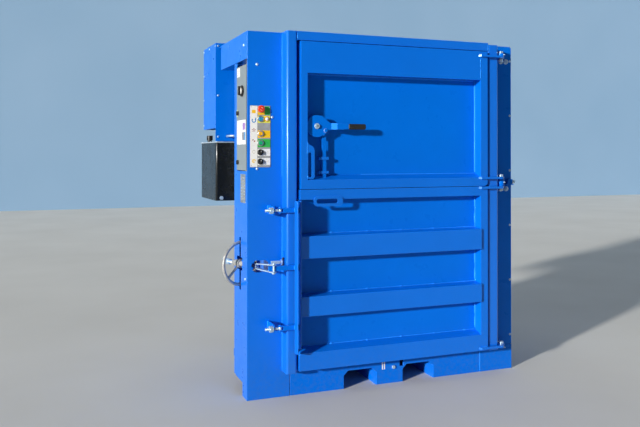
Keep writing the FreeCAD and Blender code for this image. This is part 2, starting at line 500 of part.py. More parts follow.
N["box_hinge_leaves_fixed"] = Part.makeCompound([s.removeSplitter() for s in kn_fix])
N["box_hinge_leaves_moving"] = Part.makeCompound([s.removeSplitter() for s in kn_mov])
N["box_hinge_pins"] = Part.makeCompound([cyl(HBX, HBY, z - 30, 0, 0, 1, 2.5, 59.5) for z in (1360, 1700)])
N["isolator_knob"] = add(cyl(-0.3, 96, 1680, -1, 0, 0, 31, 12), box(-27, -12.3, 88, 104, 1654, 1706),
                         cyl(-0.3, 96, 1680, 1, 0, 0, 8, 16))
for nm, z in (("upper", 1561.0), ("lower", 1285.0)):
    k = add(cyl(-0.3, 186, z, -1, 0, 0, 13, 6), box(-13, -6.3, 182, 190, z - 12, z + 12),
            cyl(-0.3, 186, z, 1, 0, 0, 8, 14), box(9.7, 13.7, 182, 208, z - 7, z + 7))
    N["cam_lock_" + nm] = k
gear = [box(243, 246, 50, 200, 1280, 1780)]
for i, (y0, w) in enumerate(((60, 40), (104, 40), (148, 40))):
    gear.append(box(190, 243, y0, y0 + w, 1620, 1700))
gear.append(box(180, 243, 60, 188, 1500, 1570))
gear.append(box(200, 243, 60, 188, 1340, 1420))
N["control_gear"] = add(*gear)
N["control_box_mounts"] = Part.makeCompound([box(60, 90, SH, 20, z, z + 10) for z in (1300, 1760)]
                                             + [box(180, 210, SH, 20, z, z + 10) for z in (1300, 1760)])

# ---- control fascia -------------------------------------------------------
FZ0, FZ1 = 1260.0, 1595.0
N["control_fascia"] = box(16, 131, -2.5, 0, FZ0, FZ1)
rows = [(1576.0, 20.0), (1523.0, 15.0), (1443.0, 15.0), (1392.0, 15.0), (1341.0, 15.0), (1291.0, 15.0)]
bez = []
for z, r in rows:
    bez.append(ring(BTN_X, -2.5, z, 0, -1, 0, r if r > 16 else 15.5, 11.3, 5 if r > 16 else 6))
bez.append(ring(110, -2.5, 1523, 0, -1, 0, 12, 9.5, 4))
N["button_bezels"] = Part.makeCompound(bez)
N["emergency_stop"] = add(cyl(BTN_X, -9.5, 1576, 0, -1, 0, 11, 8), cyl(BTN_X, -16.8, 1576, 0, -1, 0, 20, 10))
for nm, z in (("blue_button", 1523.0), ("yellow_button", 1443.0), ("green_button", 1392.0)):
    N[nm] = add(cyl(BTN_X, -7.5, z, 0, -1, 0, 11, 6))
for nm, z in (("selector_upper", 1341.0), ("selector_lower", 1291.0)):
    N[nm] = add(cyl(BTN_X, -2.8, z, 0, -1, 0, 11, 8), box(BTN_X - 4, BTN_X + 4, -19, -10.8, z - 11, z + 11))
N["cabinet_screws"] = Part.makeCompound([
    dome(56, 0, 1819, 8, 5), dome(142, 0, 1533, 8, 5), dome(56, 0, 1252, 8, 5)])
N["side_screws"] = Part.makeCompound([
    Part.makeSphere(9, V(4, 72, 1930)).common(box(-10, 0, 60, 84, 1918, 1942)),
    Part.makeSphere(9, V(4, 40, 650)).common(box(-10, 0, 28, 52, 638, 662))])
N["base_bolt_head"] = hexa(879, -8, 92, "y", 18, 8)

# ---- weldments and groups that are one piece or one set of fasteners ------
GROUPS = {
    "base_frame": ["base_rear_beam", "base_side_rails", "base_cross_beam", "fork_tunnels"],
    "chamber_back_wall": ["chamber_back_wall", "back_wall_ribs"],
    "door_portal": ["left_door_post", "right_door_post", "top_front_beam"],
    "right_cover": ["right_front_panel", "right_side_cover"],
    "cabinet_side_panel": ["cabinet_side_panel", "cabinet_rear_post"],
    "pump_motor": ["pump_motor", "motor_terminal_box"],
    "mounting_brackets": ["tank_brackets", "motor_cover_bracket", "control_box_mounts"],
    "cylinder_barrels": ["left_cylinder_barrel", "left_cylinder_gland", "right_cylinder_barrel",
                         "right_cylinder_gland"],
    "cylinder_rods": ["left_cylinder_rod", "right_cylinder_rod"],
    "press_plate": ["press_plate", "crossbeam_risers"],
    "press_crossbeam": ["press_crossbeam", "rod_nuts"],
    "load_door_frame": ["load_door_frame", "load_door_pull", "load_door_hinge_plates", "latch_rod_guides"],
    "bale_door_frame": ["bale_door_frame", "bale_door_pull", "bale_door_hinge_plates"],
    "bale_door_ribs": ["bale_door_ribs", "bale_door_edge_plate"],
    "clamp_arms": ["clamp_arms", "lock_arm", "clamp_pins"],
    "latch_lever": ["latch_lever", "latch_drive_pin"],
    "lock_yoke": ["lock_yoke", "lock_yoke_pin"],
    "lock_spindle": ["lock_spindle", "spindle_end_fork"],
    "lock_bearing_bracket": ["lock_bearing_bracket", "lock_rest_rod"],
    "hinge_lugs": ["hinge_lugs", "hinge_bolt_bracket"],
    "fasteners": ["hinge_bolts", "cabinet_screws", "side_screws", "base_bolt_head", "drain_plug"],
    "control_box": ["control_box", "box_hinge_leaves_fixed", "box_hinge_pins"],
    "control_box_door": ["control_box_door", "box_hinge_leaves_moving"],
    "control_fascia": ["control_fascia", "button_bezels"],
}
for name, parts in GROUPS.items():
    solids = []
    for q in parts:
        solids += N.pop(q).Solids
    N[name] = Part.makeCompound(solids)

# ---- write ---------------------------------------------------------------
total = None
for name, s in N.items():
    s = s.copy()
    s.translate(V(OX, OY, 0))
    bad = [x for x in s.Solids if not x.isValid() or x.Volume <= 0]
    if bad or not s.Solids:
        print("BAD", name, len(s.Solids))
    s.exportStep("parts/%s.step" % name)
    b = s.optimalBoundingBox() if hasattr(s, "optimalBoundingBox") else s.BoundBox
    if total is None:
        total = FreeCAD.BoundBox(b)
    else:
        total.add(b)
    print("%-26s %2d solid(s) %9.1f cm3" % (name, len(s.Solids), s.Volume / 1000.0))
print("nodes", len(N))
print("box", total)
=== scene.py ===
import math
import random

import bmesh
import bpy
from mathutils import Euler, Matrix, Vector


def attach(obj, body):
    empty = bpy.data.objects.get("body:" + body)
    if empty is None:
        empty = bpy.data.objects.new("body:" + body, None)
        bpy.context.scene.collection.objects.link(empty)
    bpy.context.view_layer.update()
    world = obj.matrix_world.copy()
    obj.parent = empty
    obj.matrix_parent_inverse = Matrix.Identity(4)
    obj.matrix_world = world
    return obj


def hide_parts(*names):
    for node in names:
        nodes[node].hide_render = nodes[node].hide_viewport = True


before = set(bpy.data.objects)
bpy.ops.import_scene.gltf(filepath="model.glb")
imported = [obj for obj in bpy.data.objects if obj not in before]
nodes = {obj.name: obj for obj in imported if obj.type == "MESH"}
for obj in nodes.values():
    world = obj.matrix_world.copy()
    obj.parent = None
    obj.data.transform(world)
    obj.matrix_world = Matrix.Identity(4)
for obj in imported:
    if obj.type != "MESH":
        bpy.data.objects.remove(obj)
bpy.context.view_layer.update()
scene = bpy.context.scene
rnd = random.Random(7)

# design coordinates in mm (x = 0 at the cabinet's left side, y = 0 at its front
# sheet, z = 0 on the floor) to the row frame in metres
OX, OY = -800.48, -486.5


def R(x, y, z):
    return Vector(((x + OX) / 1000, (y + OY) / 1000, z / 1000))


# ---------------------------------------------------------------- materials
def new_mat(name):
    m = bpy.data.materials.new(name)
    m.use_nodes = True
    nt = m.node_tree
    for n in list(nt.nodes):
        nt.nodes.remove(n)
    out = nt.nodes.new("ShaderNodeOutputMaterial")
    bs = nt.nodes.new("ShaderNodeBsdfPrincipled")
    nt.links.new(bs.outputs[0], out.inputs[0])
    return m, nt, bs


def node(nt, kind, **kw):
    n = nt.nodes.new(kind)
    for k, v in kw.items():
        if k in n.inputs:
            n.inputs[k].default_value = v
        else:
            setattr(n, k, v)
    return n


def coords(nt, stretch=(1, 1, 1)):
    tc = nt.nodes.new("ShaderNodeTexCoord")
    mp = nt.nodes.new("ShaderNodeMapping")
    mp.inputs["Scale"].default_value = stretch
    nt.links.new(tc.outputs["Object"], mp.inputs["Vector"])
    return mp.outputs["Vector"]


def noise(nt, vec, scale, detail=3.0, rough=0.5, dist=0.0):
    n = nt.nodes.new("ShaderNodeTexNoise")
    n.inputs["Scale"].default_value = scale
    n.inputs["Detail"].default_value = detail
    n.inputs["Roughness"].default_value = rough
    n.inputs["Distortion"].default_value = dist
    nt.links.new(vec, n.inputs["Vector"])
    return n.outputs["Fac"]


def ramp(nt, fac, stops, mode="LINEAR"):
    r = nt.nodes.new("ShaderNodeValToRGB")
    r.color_ramp.interpolation = mode
    el = r.color_ramp.elements
    while len(el) < len(stops):
        el.new(0.5)
    for e, (p, c) in zip(el, stops):
        e.position = p
        e.color = c if len(c) == 4 else (*c, 1)
    nt.links.new(fac, r.inputs["Fac"])
    return r.outputs["Color"]


def grey(v):
    return (v, v, v)


def mix(nt, fac, a, b, blend="MIX"):
    m = nt.nodes.new("ShaderNodeMix")
    m.data_type = "RGBA"
    m.blend_type = blend
    for src, i in ((fac, 0), (a, 6), (b, 7)):
        if hasattr(src, "links"):
            nt.links.new(src, m.inputs[i])
        elif i == 0:
            m.inputs[0].default_value = src
        else:
            m.inputs[i].default_value = (*src, 1) if len(src) == 3 else src
    return m.outputs[2]


def math_(nt, op, a, b=None, clamp=False):
    m = nt.nodes.new("ShaderNodeMath")
    m.operation = op
    m.use_clamp = clamp
    for i, s in enumerate((a, b)):
        if s is None:
            continue
        if hasattr(s, "links"):
            nt.links.new(s, m.inputs[i])
        else:
            m.inputs[i].default_value = s
    return m.outputs[0]


def bump(nt, bs, chain):
    """chain: list of (height socket, strength, distance in m)"""
    last = None
    for h, s, d in chain:
        b = nt.nodes.new("ShaderNodeBump")
        b.inputs["Strength"].default_value = s
        b.inputs["Distance"].default_value = d
        nt.links.new(h, b.inputs["Height"])
        if last is not None:
            nt.links.new(last, b.inputs["Normal"])
        last = b.outputs["Normal"]
    nt.links.new(last, bs.inputs["Normal"])


def edge_mask(nt, radius, lo=0.0005, hi=0.02):
    """bright along convex and concave edges: how far the rounded normal leans off the face's own"""
    bv = nt.nodes.new("ShaderNodeBevel")
    bv.samples = 4
    bv.inputs["Radius"].default_value = radius
    ge = nt.nodes.new("ShaderNodeNewGeometry")
    dt = nt.nodes.new("ShaderNodeVectorMath")
    dt.operation = "DOT_PRODUCT"
    nt.links.new(bv.outputs[0], dt.inputs[0])
    nt.links.new(ge.outputs["Normal"], dt.inputs[1])
    inv = math_(nt, "SUBTRACT", 1.0, dt.outputs["Value"])
    mr = nt.nodes.new("ShaderNodeMapRange")
    mr.inputs["From Min"].default_value = lo
    mr.inputs["From Max"].default_value = hi
    nt.links.new(inv, mr.inputs["Value"])
    return mr.outputs[0]


def sep_z(nt):
    tc = nt.nodes.new("ShaderNodeTexCoord")
    sx = nt.nodes.new("ShaderNodeSeparateXYZ")
    nt.links.new(tc.outputs["Object"], sx.inputs[0])
    return sx.outputs["Z"]


def paint(name, c, edge_wear_and_highlight=0.35, gloss=0.30, dirt=0.14, worn=0.0, coat=0.07, coat_rough=0.16):
    """stoved gloss enamel on sheet steel: orange peel, slight sheet waves, faded patches, dust low down, edges
    lightened partly as scuffs and partly as painted highlight
    """
    m, nt, bs = new_mat(name)
    v = coords(nt)
    big = noise(nt, v, 1.1, 2.0, 0.5)
    mid = noise(nt, v, 9.0, 4.0, 0.6)
    dark = tuple(x * 0.93 for x in c)
    lite = tuple(min(1.0, x * 1.05) for x in c)
    col = ramp(nt, big, [(0.3, dark), (0.5, c), (0.72, lite)])
    spots = ramp(nt, mid, [(0.35, grey(0.975)), (0.6, grey(1.0)), (0.8, grey(1.02))])
    col = mix(nt, 1.0, col, spots, "MULTIPLY")
    # dust and splash that thins out upwards
    z = sep_z(nt)
    low = nt.nodes.new("ShaderNodeMapRange")
    low.inputs["From Min"].default_value = 0.34
    low.inputs["From Max"].default_value = 0.0
    nt.links.new(z, low.inputs["Value"])
    grit = noise(nt, v, 55.0, 5.0, 0.65)
    g = ramp(nt, grit, [(0.42, grey(0.0)), (0.72, grey(1.0))])
    dm = math_(nt, "MULTIPLY", low.outputs[0], g)
    dm = math_(nt, "MULTIPLY", dm, dirt)
    col = mix(nt, dm, col, (0.17, 0.15, 0.12))
    # edges lightened: light scuffs plus a painted highlight along every edge
    edge_scuff_and_highlight = edge_mask(nt, 0.004)
    chip = ramp(nt, noise(nt, v, 38.0, 5.0, 0.7), [(0.4, grey(0.25)), (0.62, grey(1.0))])
    edge_scuff_and_highlight = math_(nt, "MULTIPLY", edge_scuff_and_highlight, chip)
    edge_scuff_and_highlight = math_(nt, "MULTIPLY", edge_scuff_and_highlight, edge_wear_and_highlight)
    col = mix(nt, edge_scuff_and_highlight, col, tuple(min(1.0, x * 1.35 + 0.03) for x in c))
    if worn:
        # rubbed to bare steel by card and bales
        rub = noise(nt, coords(nt, (1.0, 1.0, 0.18)), 26.0, 6.0, 0.7, 0.6)
        rb = ramp(nt, rub, [(0.56, grey(0.0)), (0.66, grey(1.0))])
        rb = math_(nt, "MULTIPLY", rb, worn)
        col = mix(nt, rb, col, (0.33, 0.31, 0.29))
    nt.links.new(col, bs.inputs["Base Color"])
    rr = ramp(nt, noise(nt, v, 14.0, 4.0, 0.6), [(0.3, grey(gloss - 0.04)), (0.7, grey(gloss + 0.05))])
    rr = mix(nt, dm, rr, grey(0.75))
    nt.links.new(rr, bs.inputs["Roughness"])
    bs.inputs["IOR"].default_value = 1.5
    if c[2] > 0.3 and c[0] < 0.1:
        bs.inputs["Specular Tint"].default_value = (0.12, 0.55, 1.0, 1)
    bs.inputs["Specular IOR Level"].default_value = 0.36
    bs.inputs["Coat Weight"].default_value = coat
    bs.inputs["Coat Roughness"].default_value = coat_rough
    bump(nt, bs, [(noise(nt, v, 2.2, 1.0, 0.4), 0.16, 0.006), (noise(nt, v, 300.0, 1.0, 0.5), 0.06, 0.0003)])
    return m


def metal(name, c, rough=0.34, scale=120.0, aniso=(1, 1, 1), spangle=0.0, stain=0.25, met=1.0):
    m, nt, bs = new_mat(name)
    v = coords(nt)
    vs = coords(nt, aniso)
    dark = tuple(x * 0.72 for x in c)
    col = ramp(nt, noise(nt, v, 24.0, 4.0, 0.6), [(0.3, dark), (0.55, c), (0.8, tuple(min(1, x * 1.15) for x in c))])
    if spangle:
        vo = nt.nodes.new("ShaderNodeTexVoronoi")
        vo.inputs["Scale"].default_value = 210.0
        nt.links.new(v, vo.inputs["Vector"])
        sp = ramp(nt, vo.outputs["Color"], [(0.2, grey(1 - spangle)), (0.8, grey(1.0))])
        col = mix(nt, 1.0, col, sp, "MULTIPLY")
    st = ramp(nt, noise(nt, v, 60.0, 6.0, 0.7), [(0.55, grey(0.0)), (0.75, grey(1.0))])
    st = math_(nt, "MULTIPLY", st, stain)
    col = mix(nt, st, col, tuple(x * 0.45 for x in c))
    nt.links.new(col, bs.inputs["Base Color"])
    bs.inputs["Metallic"].default_value = met
    rr = ramp(nt, noise(nt, vs, scale, 3.0, 0.6), [(0.3, grey(max(0.02, rough - 0.1))), (0.7, grey(rough + 0.12))])
    nt.links.new(rr, bs.inputs["Roughness"])
    bump(nt, bs, [(noise(nt, vs, scale * 3, 3.0, 0.6), 0.18, 0.0003)])
    return m


def plastic(name, c, rough=0.35, grain=900.0, depth=0.0002, coat=0.0, tone=0.12):
    m, nt, bs = new_mat(name)
    v = coords(nt)
    col = ramp(nt, noise(nt, v, 30.0, 3.0, 0.6),
               [(0.3, tuple(x * (1 - tone) for x in c)), (0.7, tuple(min(1, x * (1 + tone * 0.6) + 0.003) for x in c))])
    nt.links.new(col, bs.inputs["Base Color"])
    rr = ramp(nt, noise(nt, v, 70.0, 4.0, 0.6), [(0.3, grey(max(0.03, rough - 0.07))), (0.7, grey(rough + 0.1))])
    nt.links.new(rr, bs.inputs["Roughness"])
    bs.inputs["Coat Weight"].default_value = coat
    bump(nt, bs, [(noise(nt, v, grain, 2.0, 0.5), 0.2, depth)])
    return m


BLUE = (0.0, 0.143, 0.67)
M = {
    "blue": paint("enamel_blue", BLUE),
    "blue_post": paint("enamel_blue_thick", BLUE, gloss=0.32, coat=1.0, coat_rough=0.30),
    "blue_door": paint("enamel_blue_door", BLUE, gloss=0.32, coat=0.6, coat_rough=0.28),
    "blue_in": paint("enamel_blue_inside", (0.004, 0.12, 0.60), edge_wear_and_highlight=0.5, gloss=0.38, worn=0.55),
    "blue_floor": paint("enamel_blue_rubbed", (0.01, 0.10, 0.42), edge_wear_and_highlight=0.6, gloss=0.42, worn=0.95),
    # weld bead paint is lighter than the body blue: a painted highlight where the beads catch the light
    "weld": paint("enamel_weld_bead_painted_highlight", (0.02, 0.25, 0.90), edge_wear_and_highlight=0.0, gloss=0.16, dirt=0.0),
    "black": paint("tank_black_gloss", (0.006, 0.008, 0.009), edge_wear_and_highlight=0.12, gloss=0.26, dirt=0.0, coat=0.0),
    "lid": paint("lid_grey", (0.34, 0.40, 0.46), edge_wear_and_highlight=0.6, gloss=0.3, dirt=0.0),
    "motor": paint("motor_grey", (0.06, 0.068, 0.075), edge_wear_and_highlight=0.6, gloss=0.4, dirt=0.0),
    "box": paint("box_grey_texture", (0.20, 0.235, 0.25), edge_wear_and_highlight=0.45, gloss=0.42, dirt=0.0),
    # zinc colour tinted blue: a painted reflection of the surrounding blue paint
    "zinc": metal("zinc_plate_blue_reflection_tint", (0.52, 0.70, 0.86), rough=0.36, met=0.55),
    "galv": metal("galvanised", (0.50, 0.50, 0.48), rough=0.46, spangle=0.3, met=0.35),
    "steel": metal("turned_steel", (0.62, 0.60, 0.57), rough=0.24, scale=300.0, aniso=(1, 1, 30)),
    "chrome": metal("rod_chrome", (0.80, 0.81, 0.83), rough=0.13, stain=0.05),
    "alu": metal("plate_aluminium", (0.72, 0.73, 0.74), rough=0.36, scale=260.0, aniso=(1, 1, 24), stain=0.1),
    "rubber": plastic("grip_rubber", (0.010, 0.010, 0.011), 0.55, 500.0, 0.0004),
    "blackp": plastic("black_plastic", (0.012, 0.012, 0.013), 0.3, 900.0, 0.0001, coat=0.2),
    "greyp": plastic("grey_plastic", (0.48, 0.48, 0.46), 0.4),
    "white": plastic("label_white", (0.80, 0.80, 0.77), 0.28, 300.0, 0.0001, coat=0.3, tone=0.05),
    "film": plastic("label_grey", (0.30, 0.31, 0.31), 0.3, 300.0, 0.0001, coat=0.3),
    "red": plastic("button_red", (0.74, 0.045, 0.008), 0.2, coat=0.4),
    "bluep": plastic("button_blue", (0.010, 0.27, 0.48), 0.2, coat=0.4),
    "yellow": plastic("button_yellow", (0.85, 0.42, 0.006), 0.2, coat=0.4),
    "green": plastic("button_green", (0.004, 0.36, 0.15), 0.2, coat=0.4),
    "tag_yellow": plastic("tag_yellow", (0.85, 0.50, 0.01), 0.3, 300.0, 0.0001, coat=0.3, tone=0.06),
    "tag_pale": plastic("tag_pale_yellow", (0.72, 0.70, 0.10), 0.3, 300.0, 0.0001, coat=0.3, tone=0.06),
    "tag_green": plastic("tag_green", (0.03, 0.42, 0.06), 0.3, 300.0, 0.0001, coat=0.3, tone=0.06),
    "ink_blue": plastic("ink_blue", (0.02, 0.20, 0.50), 0.4, 300.0, 0.0001),
    "ink_brown": plastic("ink_brown", (0.34, 0.10, 0.05), 0.4, 300.0, 0.0001),
    "ink_dark": plastic("ink_dark", (0.03, 0.03, 0.05), 0.4, 300.0, 0.0001),
    "ink_pale": plastic("ink_pale", (0.55, 0.50, 0.42), 0.4, 300.0, 0.0001),
    "ink_violet": plastic("ink_violet", (0.30, 0.16, 0.45), 0.4, 300.0, 0.0001),
    "copper": metal("copper_wire", (0.75, 0.36, 0.20), rough=0.3),
}

# ------------------------------------------------ finish of the CAD nodes
LOOK = {
    "blue_post": ["door_portal"],
    "blue_door": ["load_door_frame", "bale_door_frame", "bale_door_ribs", "cabinet_front_panel"],
    "blue": ["base_front_beam", "base_corner_block", "base_frame", "right_cover",
             "cabinet_side_panel", "header_panel", "motor_cover", "mounting_brackets", "cylinder_barrels", "hinge_lugs",
             "clamp_catches", "lock_bearing_bracket", "load_door_panel", "latch_lever", "latch_rod",
             "bale_door_panel", "clamp_arms", "press_crossbeam", "roof_plate",
             "chamber_left_wall", "chamber_right_wall", "chamber_back_wall"],
    "blue_floor": ["chamber_floor", "press_plate"],
    "black": ["oil_tank"], "lid": ["tank_lid"], "motor": ["pump_motor", "valve_block"],
    "blackp": ["breather_cap", "isolator_knob", "cam_lock_upper", "cam_lock_lower", "selector_upper", "selector_lower"],
    "rubber": ["latch_grip"],
    "box": ["control_box", "control_box_door"], "greyp": ["control_gear"],
    "zinc": ["hinge_pins", "fasteners", "latch_pivot", "swing_bolt_top", "swing_bolt_bottom", "clamp_nut_top",
             "clamp_nut_bottom", "lock_yoke", "lock_spindle", "hydraulic_pipes"],
    "galv": ["handwheel"], "chrome": ["cylinder_rods"], "film": ["control_fascia"], "red": ["emergency_stop"],
    "bluep": ["blue_button"], "yellow": ["yellow_button"], "green": ["green_button"],
}
BEVEL = {"base_front_beam": 2, "base_corner_block": 2, "base_frame": 1.5, "door_portal": 1.5, "right_cover": 1.2,
         "cabinet_front_panel": 1.4, "cabinet_side_panel": 1.2, "header_panel": 1.2, "motor_cover": 1.2,
         "load_door_frame": 4.6, "load_door_panel": 1, "latch_lever": 1.2, "latch_rod": 1.2, "bale_door_frame": 3.2,
         "bale_door_panel": 1, "bale_door_ribs": 3, "clamp_arms": 1.2, "hinge_lugs": 1.2, "clamp_catches": 1,
         "lock_bearing_bracket": 1, "oil_tank": 1.5, "tank_lid": 1.2, "control_box": 2, "control_box_door": 1.2,
         "lock_yoke": 1, "press_plate": 2, "press_crossbeam": 3, "chamber_floor": 1.5, "roof_plate": 1,
         "chamber_left_wall": 1, "chamber_right_wall": 1, "chamber_back_wall": 1.5, "valve_block": 1.5,
         "control_gear": 1, "mounting_brackets": 1, "control_fascia": 0.5, "fasteners": 0.5, "clamp_nut_top": 0.8,
         "clamp_nut_bottom": 0.8, "hinge_pins": 0.8}
for key, names in LOOK.items():
    for n in names:
        o = nodes[n]
        o.data.materials.clear()
        o.data.materials.append(M[key])
for n, w in BEVEL.items():
    o = nodes[n]
    md = o.modifiers.new("weld", "WELD")
    md.merge_threshold = 0.00002
    md = o.modifiers.new("flat", "DECIMATE")
    md.decimate_type = "DISSOLVE"
    md.angle_limit = math.radians(0.4)
    md = o.modifiers.new("edge", "BEVEL")
    md.width = w / 1000
    md.segments = 2
    md.limit_method = "ANGLE"
    md.angle_limit = math.radians(38)
    md.use_clamp_overlap = True
    md.harden_normals = True

# ------------------------------------------------------------ piece helpers
def piece(name, bm, mat, body="frame", smooth=35.0, mods=()):
    bmesh.ops.recalc_face_normals(bm, faces=bm.faces)
    me = bpy.data.meshes.new(name)
    bm.to_mesh(me)
    bm.free()
    o = bpy.data.objects.new(name, me)
    scene.collection.objects.link(o)
    mats = mat if isinstance(mat, (list, tuple)) else [mat]
    for k in mats:
        me.materials.append(M[k])
    if smooth:
        for p in me.polygons:
            p.use_smooth = True
        me.set_sharp_from_angle(angle=math.radians(smooth))
    for kind, kw in mods:
        md = o.modifiers.new(kind.lower(), kind)
        for k, v in kw.items():
            setattr(md, k, v)
    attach(o, body)
    return o


def bev(w, seg=2, ang=35):
    return ("BEVEL", {"width": w / 1000, "segments": seg, "limit_method": "ANGLE", "angle_limit": math.radians(ang)})


def basis(axis):
    a = Vector(axis).normalized()
    up = Vector((0, 0, 1)) if abs(a.z) < 0.9 else Vector((1, 0, 0))
    u = up.cross(a).normalized()
    w = a.cross(u)
    return u, w, a


def lathe(bm, prof, at, axis, seg=48, mat=0, closed=False):
    """prof: (radius, along) in mm, turned about axis through at"""
    u, w, a = basis(axis)
    rings = []
    for r, t in prof:
        c = at + a * (t / 1000)
        if r < 1e-6:
            rings.append([bm.verts.new(c)])
        else:
            rings.append([bm.verts.new(c + (u * math.cos(2 * math.pi * i / seg) + w * math.sin(2 * math.pi * i / seg)) * (r / 1000))
                          for i in range(seg)])
    pairs = list(zip(rings, rings[1:]))
    if closed:
        pairs.append((rings[-1], rings[0]))
    for p, q in pairs:
        for i in range(seg):
            j = (i + 1) % seg
            if len(p) == 1 and len(q) == 1:
                continue
            if len(p) == 1:
                f = bm.faces.new((p[0], q[i], q[j]))
            elif len(q) == 1:
                f = bm.faces.new((p[i], q[0], p[j]))
            else:
                f = bm.faces.new((p[i], q[i], q[j], p[j]))
            f.material_index = mat
    return rings


def slab(bm, pts, origin, ux, uy, un, t, mat=0):
    """outline in the plane (ux, uy) at origin, drawn out by t mm along un; a closed solid"""
    bot = [bm.verts.new(origin + ux * (x / 1000) + uy * (y / 1000)) for x, y in pts]
    top = [bm.verts.new(v.co + un * (t / 1000)) for v in bot]
    n = len(pts)
    fs = [bm.faces.new(bot), bm.faces.new(list(reversed(top)))]
    for i in range(n):
        j = (i + 1) % n
        fs.append(bm.faces.new((bot[j], bot[i], top[i], top[j])))
    for f in fs:
        f.material_index = mat


def rrect(cx, cy, w, h, r, seg=5):
    pts = []
    for sx, sy, a0 in ((1, 1, 0), (-1, 1, 90), (-1, -1, 180), (1, -1, 270)):
        ox, oy = cx + sx * (w / 2 - r), cy + sy * (h / 2 - r)
        for i in range(seg + 1):
            a = math.radians(a0 + 90 * i / seg)
            pts.append((ox + r * math.cos(a), oy + r * math.sin(a)))
    return pts


def circle(cx, cy, r, seg=32):
    return [(cx + r * math.cos(2 * math.pi * i / seg), cy + r * math.sin(2 * math.pi * i / seg)) for i in range(seg)]


X, Y, Z = Vector((1, 0, 0)), Vector((0, 1, 0)), Vector((0, 0, 1))


def bead(bm, a, b, r=3.2, normal=None, pitch=None, sides=7, seed=0, flat=0.7, wob=0.18):
    """a weld bead: overlapping ripples from a to b (row metres), radius r mm, sunk half into the joint"""
    rg = random.Random(seed)
    d = b - a
    L = d.length * 1000
    if L < 1:
        return
    ax = d.normalized()
    nrm = (normal or Z).normalized()
    nrm = (nrm - ax * nrm.dot(ax)).normalized()
    sd = ax.cross(nrm)
    p = pitch or r * 0.9
    n = max(2, int(L / p))
    ringn = []
    steps = n * 3
    for k in range(steps + 1):
        t = k / steps
        ph = (k % 3) / 3
        rr = r * (1.0 - 0.16 * ph) * (1 + wob * (rg.random() - 0.5))
        endf = min(1.0, min(t * L, (1 - t) * L) / (r * 1.1) + 0.15)
        rr *= math.sin(endf * math.pi / 2)
        c = a + d * t
        ring = []
        for i in range(sides):
            an = 2 * math.pi * i / sides
            ring.append(bm.verts.new(c + (nrm * math.cos(an) * flat + sd * math.sin(an)) * (max(rr, 0.05) / 1000)))
        ringn.append(ring)
    for p_, q_ in zip(ringn, ringn[1:]):
        for i in range(sides):
            j = (i + 1) % sides
            bm.faces.new((p_[i], q_[i], q_[j], p_[j]))
    bm.faces.new(ringn[0])
    bm.faces.new(list(reversed(ringn[-1])))


def thread(bm, a, axis, r, length, pitch, depth, seg=20, per=6, tip=1.5):
    """a screw thread of true form: the radius follows the helix"""
    u, w, ax = basis(axis)
    n = int(length / pitch * per)
    rings = []
    for k in range(n + 1):
        t = length * k / n
        ring = []
        for i in range(seg):
            an = 2 * math.pi * i / seg
            ph = (t / pitch - i / seg) % 1.0
            rr = r - depth * (1 - abs(2 * ph - 1))
            if length - t < tip:
                rr = min(rr, r - (tip - (length - t)) * 0.8)
            ring.append(bm.verts.new(a + ax * (t / 1000) + (u * math.cos(an) + w * math.sin(an)) * (rr / 1000)))
        rings.append(ring)
    for p_, q_ in zip(rings, rings[1:]):
        for i in range(seg):
            j = (i + 1) % seg
            bm.faces.new((p_[i], q_[i], q_[j], p_[j]))
    bm.faces.new(rings[0])
    bm.faces.new(list(reversed(rings[-1])))
    return rings


def washer(bm, at, axis, ro, ri, t, mat=0, seg=40):
    c = min(0.35, t * 0.3)
    lathe(bm, [(ri, 0), (ro - c, 0), (ro, c), (ro, t - c), (ro - c, t), (ri, t)], at, axis, seg, mat, closed=True)

# ---------------------------------------------------------------- weld beads
b = bmesh.new()
# loading door: right stile to skin, foot of the skin, short runs on the rail's end
bead(b, R(1412.5, -34, 1222), R(1412.5, -34, 1772), 4.2, normal=Vector((-1, -1, 0)), seed=1)
bead(b, R(660, -33.5, 1216.5), R(1408, -33.5, 1216.5), 2.6, normal=Vector((0, -1, 1)), seed=2)
bead(b, R(316, -33.5, 1771.5), R(1408, -33.5, 1771.5), 3.0, normal=Vector((0, -1, -1)), seed=3)
for k, (z0, z1) in enumerate(((1782, 1838), (1848, 1868), (1876, 1902), (1908, 1912))):
    bead(b, R(1413.5, -98.3, z0), R(1413.5, -98.3, z1), 2.6, normal=-Y, seed=4 + k)
for k, (x0, x1) in enumerate(((1398, 1440),)):
    for z in (1912.4, 1925.6, 1181.4):
        bead(b, R(1418, -98.6, z), R(1458, -98.6, z), 2.2, normal=Vector((0, -1, 0)), seed=20 + int(z))
bead(b, R(311, -98.2, 1199), R(311, -98.2, 1214), 2.0, normal=-Y, seed=31)
bead(b, R(311, -98.2, 1334), R(311, -98.2, 1396), 2.0, normal=-Y, seed=32)
# rod guides to skin
for z0, z1 in ((1300, 1316), (1224, 1238)):
    bead(b, R(395.5, -33.5, z0), R(395.5, -33.5, z1), 2.4, normal=Vector((-1, -1, 0)), seed=int(z0))
    bead(b, R(446.5, -33.5, z0), R(446.5, -33.5, z1), 2.4, normal=Vector((1, -1, 0)), seed=int(z1))
piece("load_door_welds", b, "weld", "load_door", smooth=60)

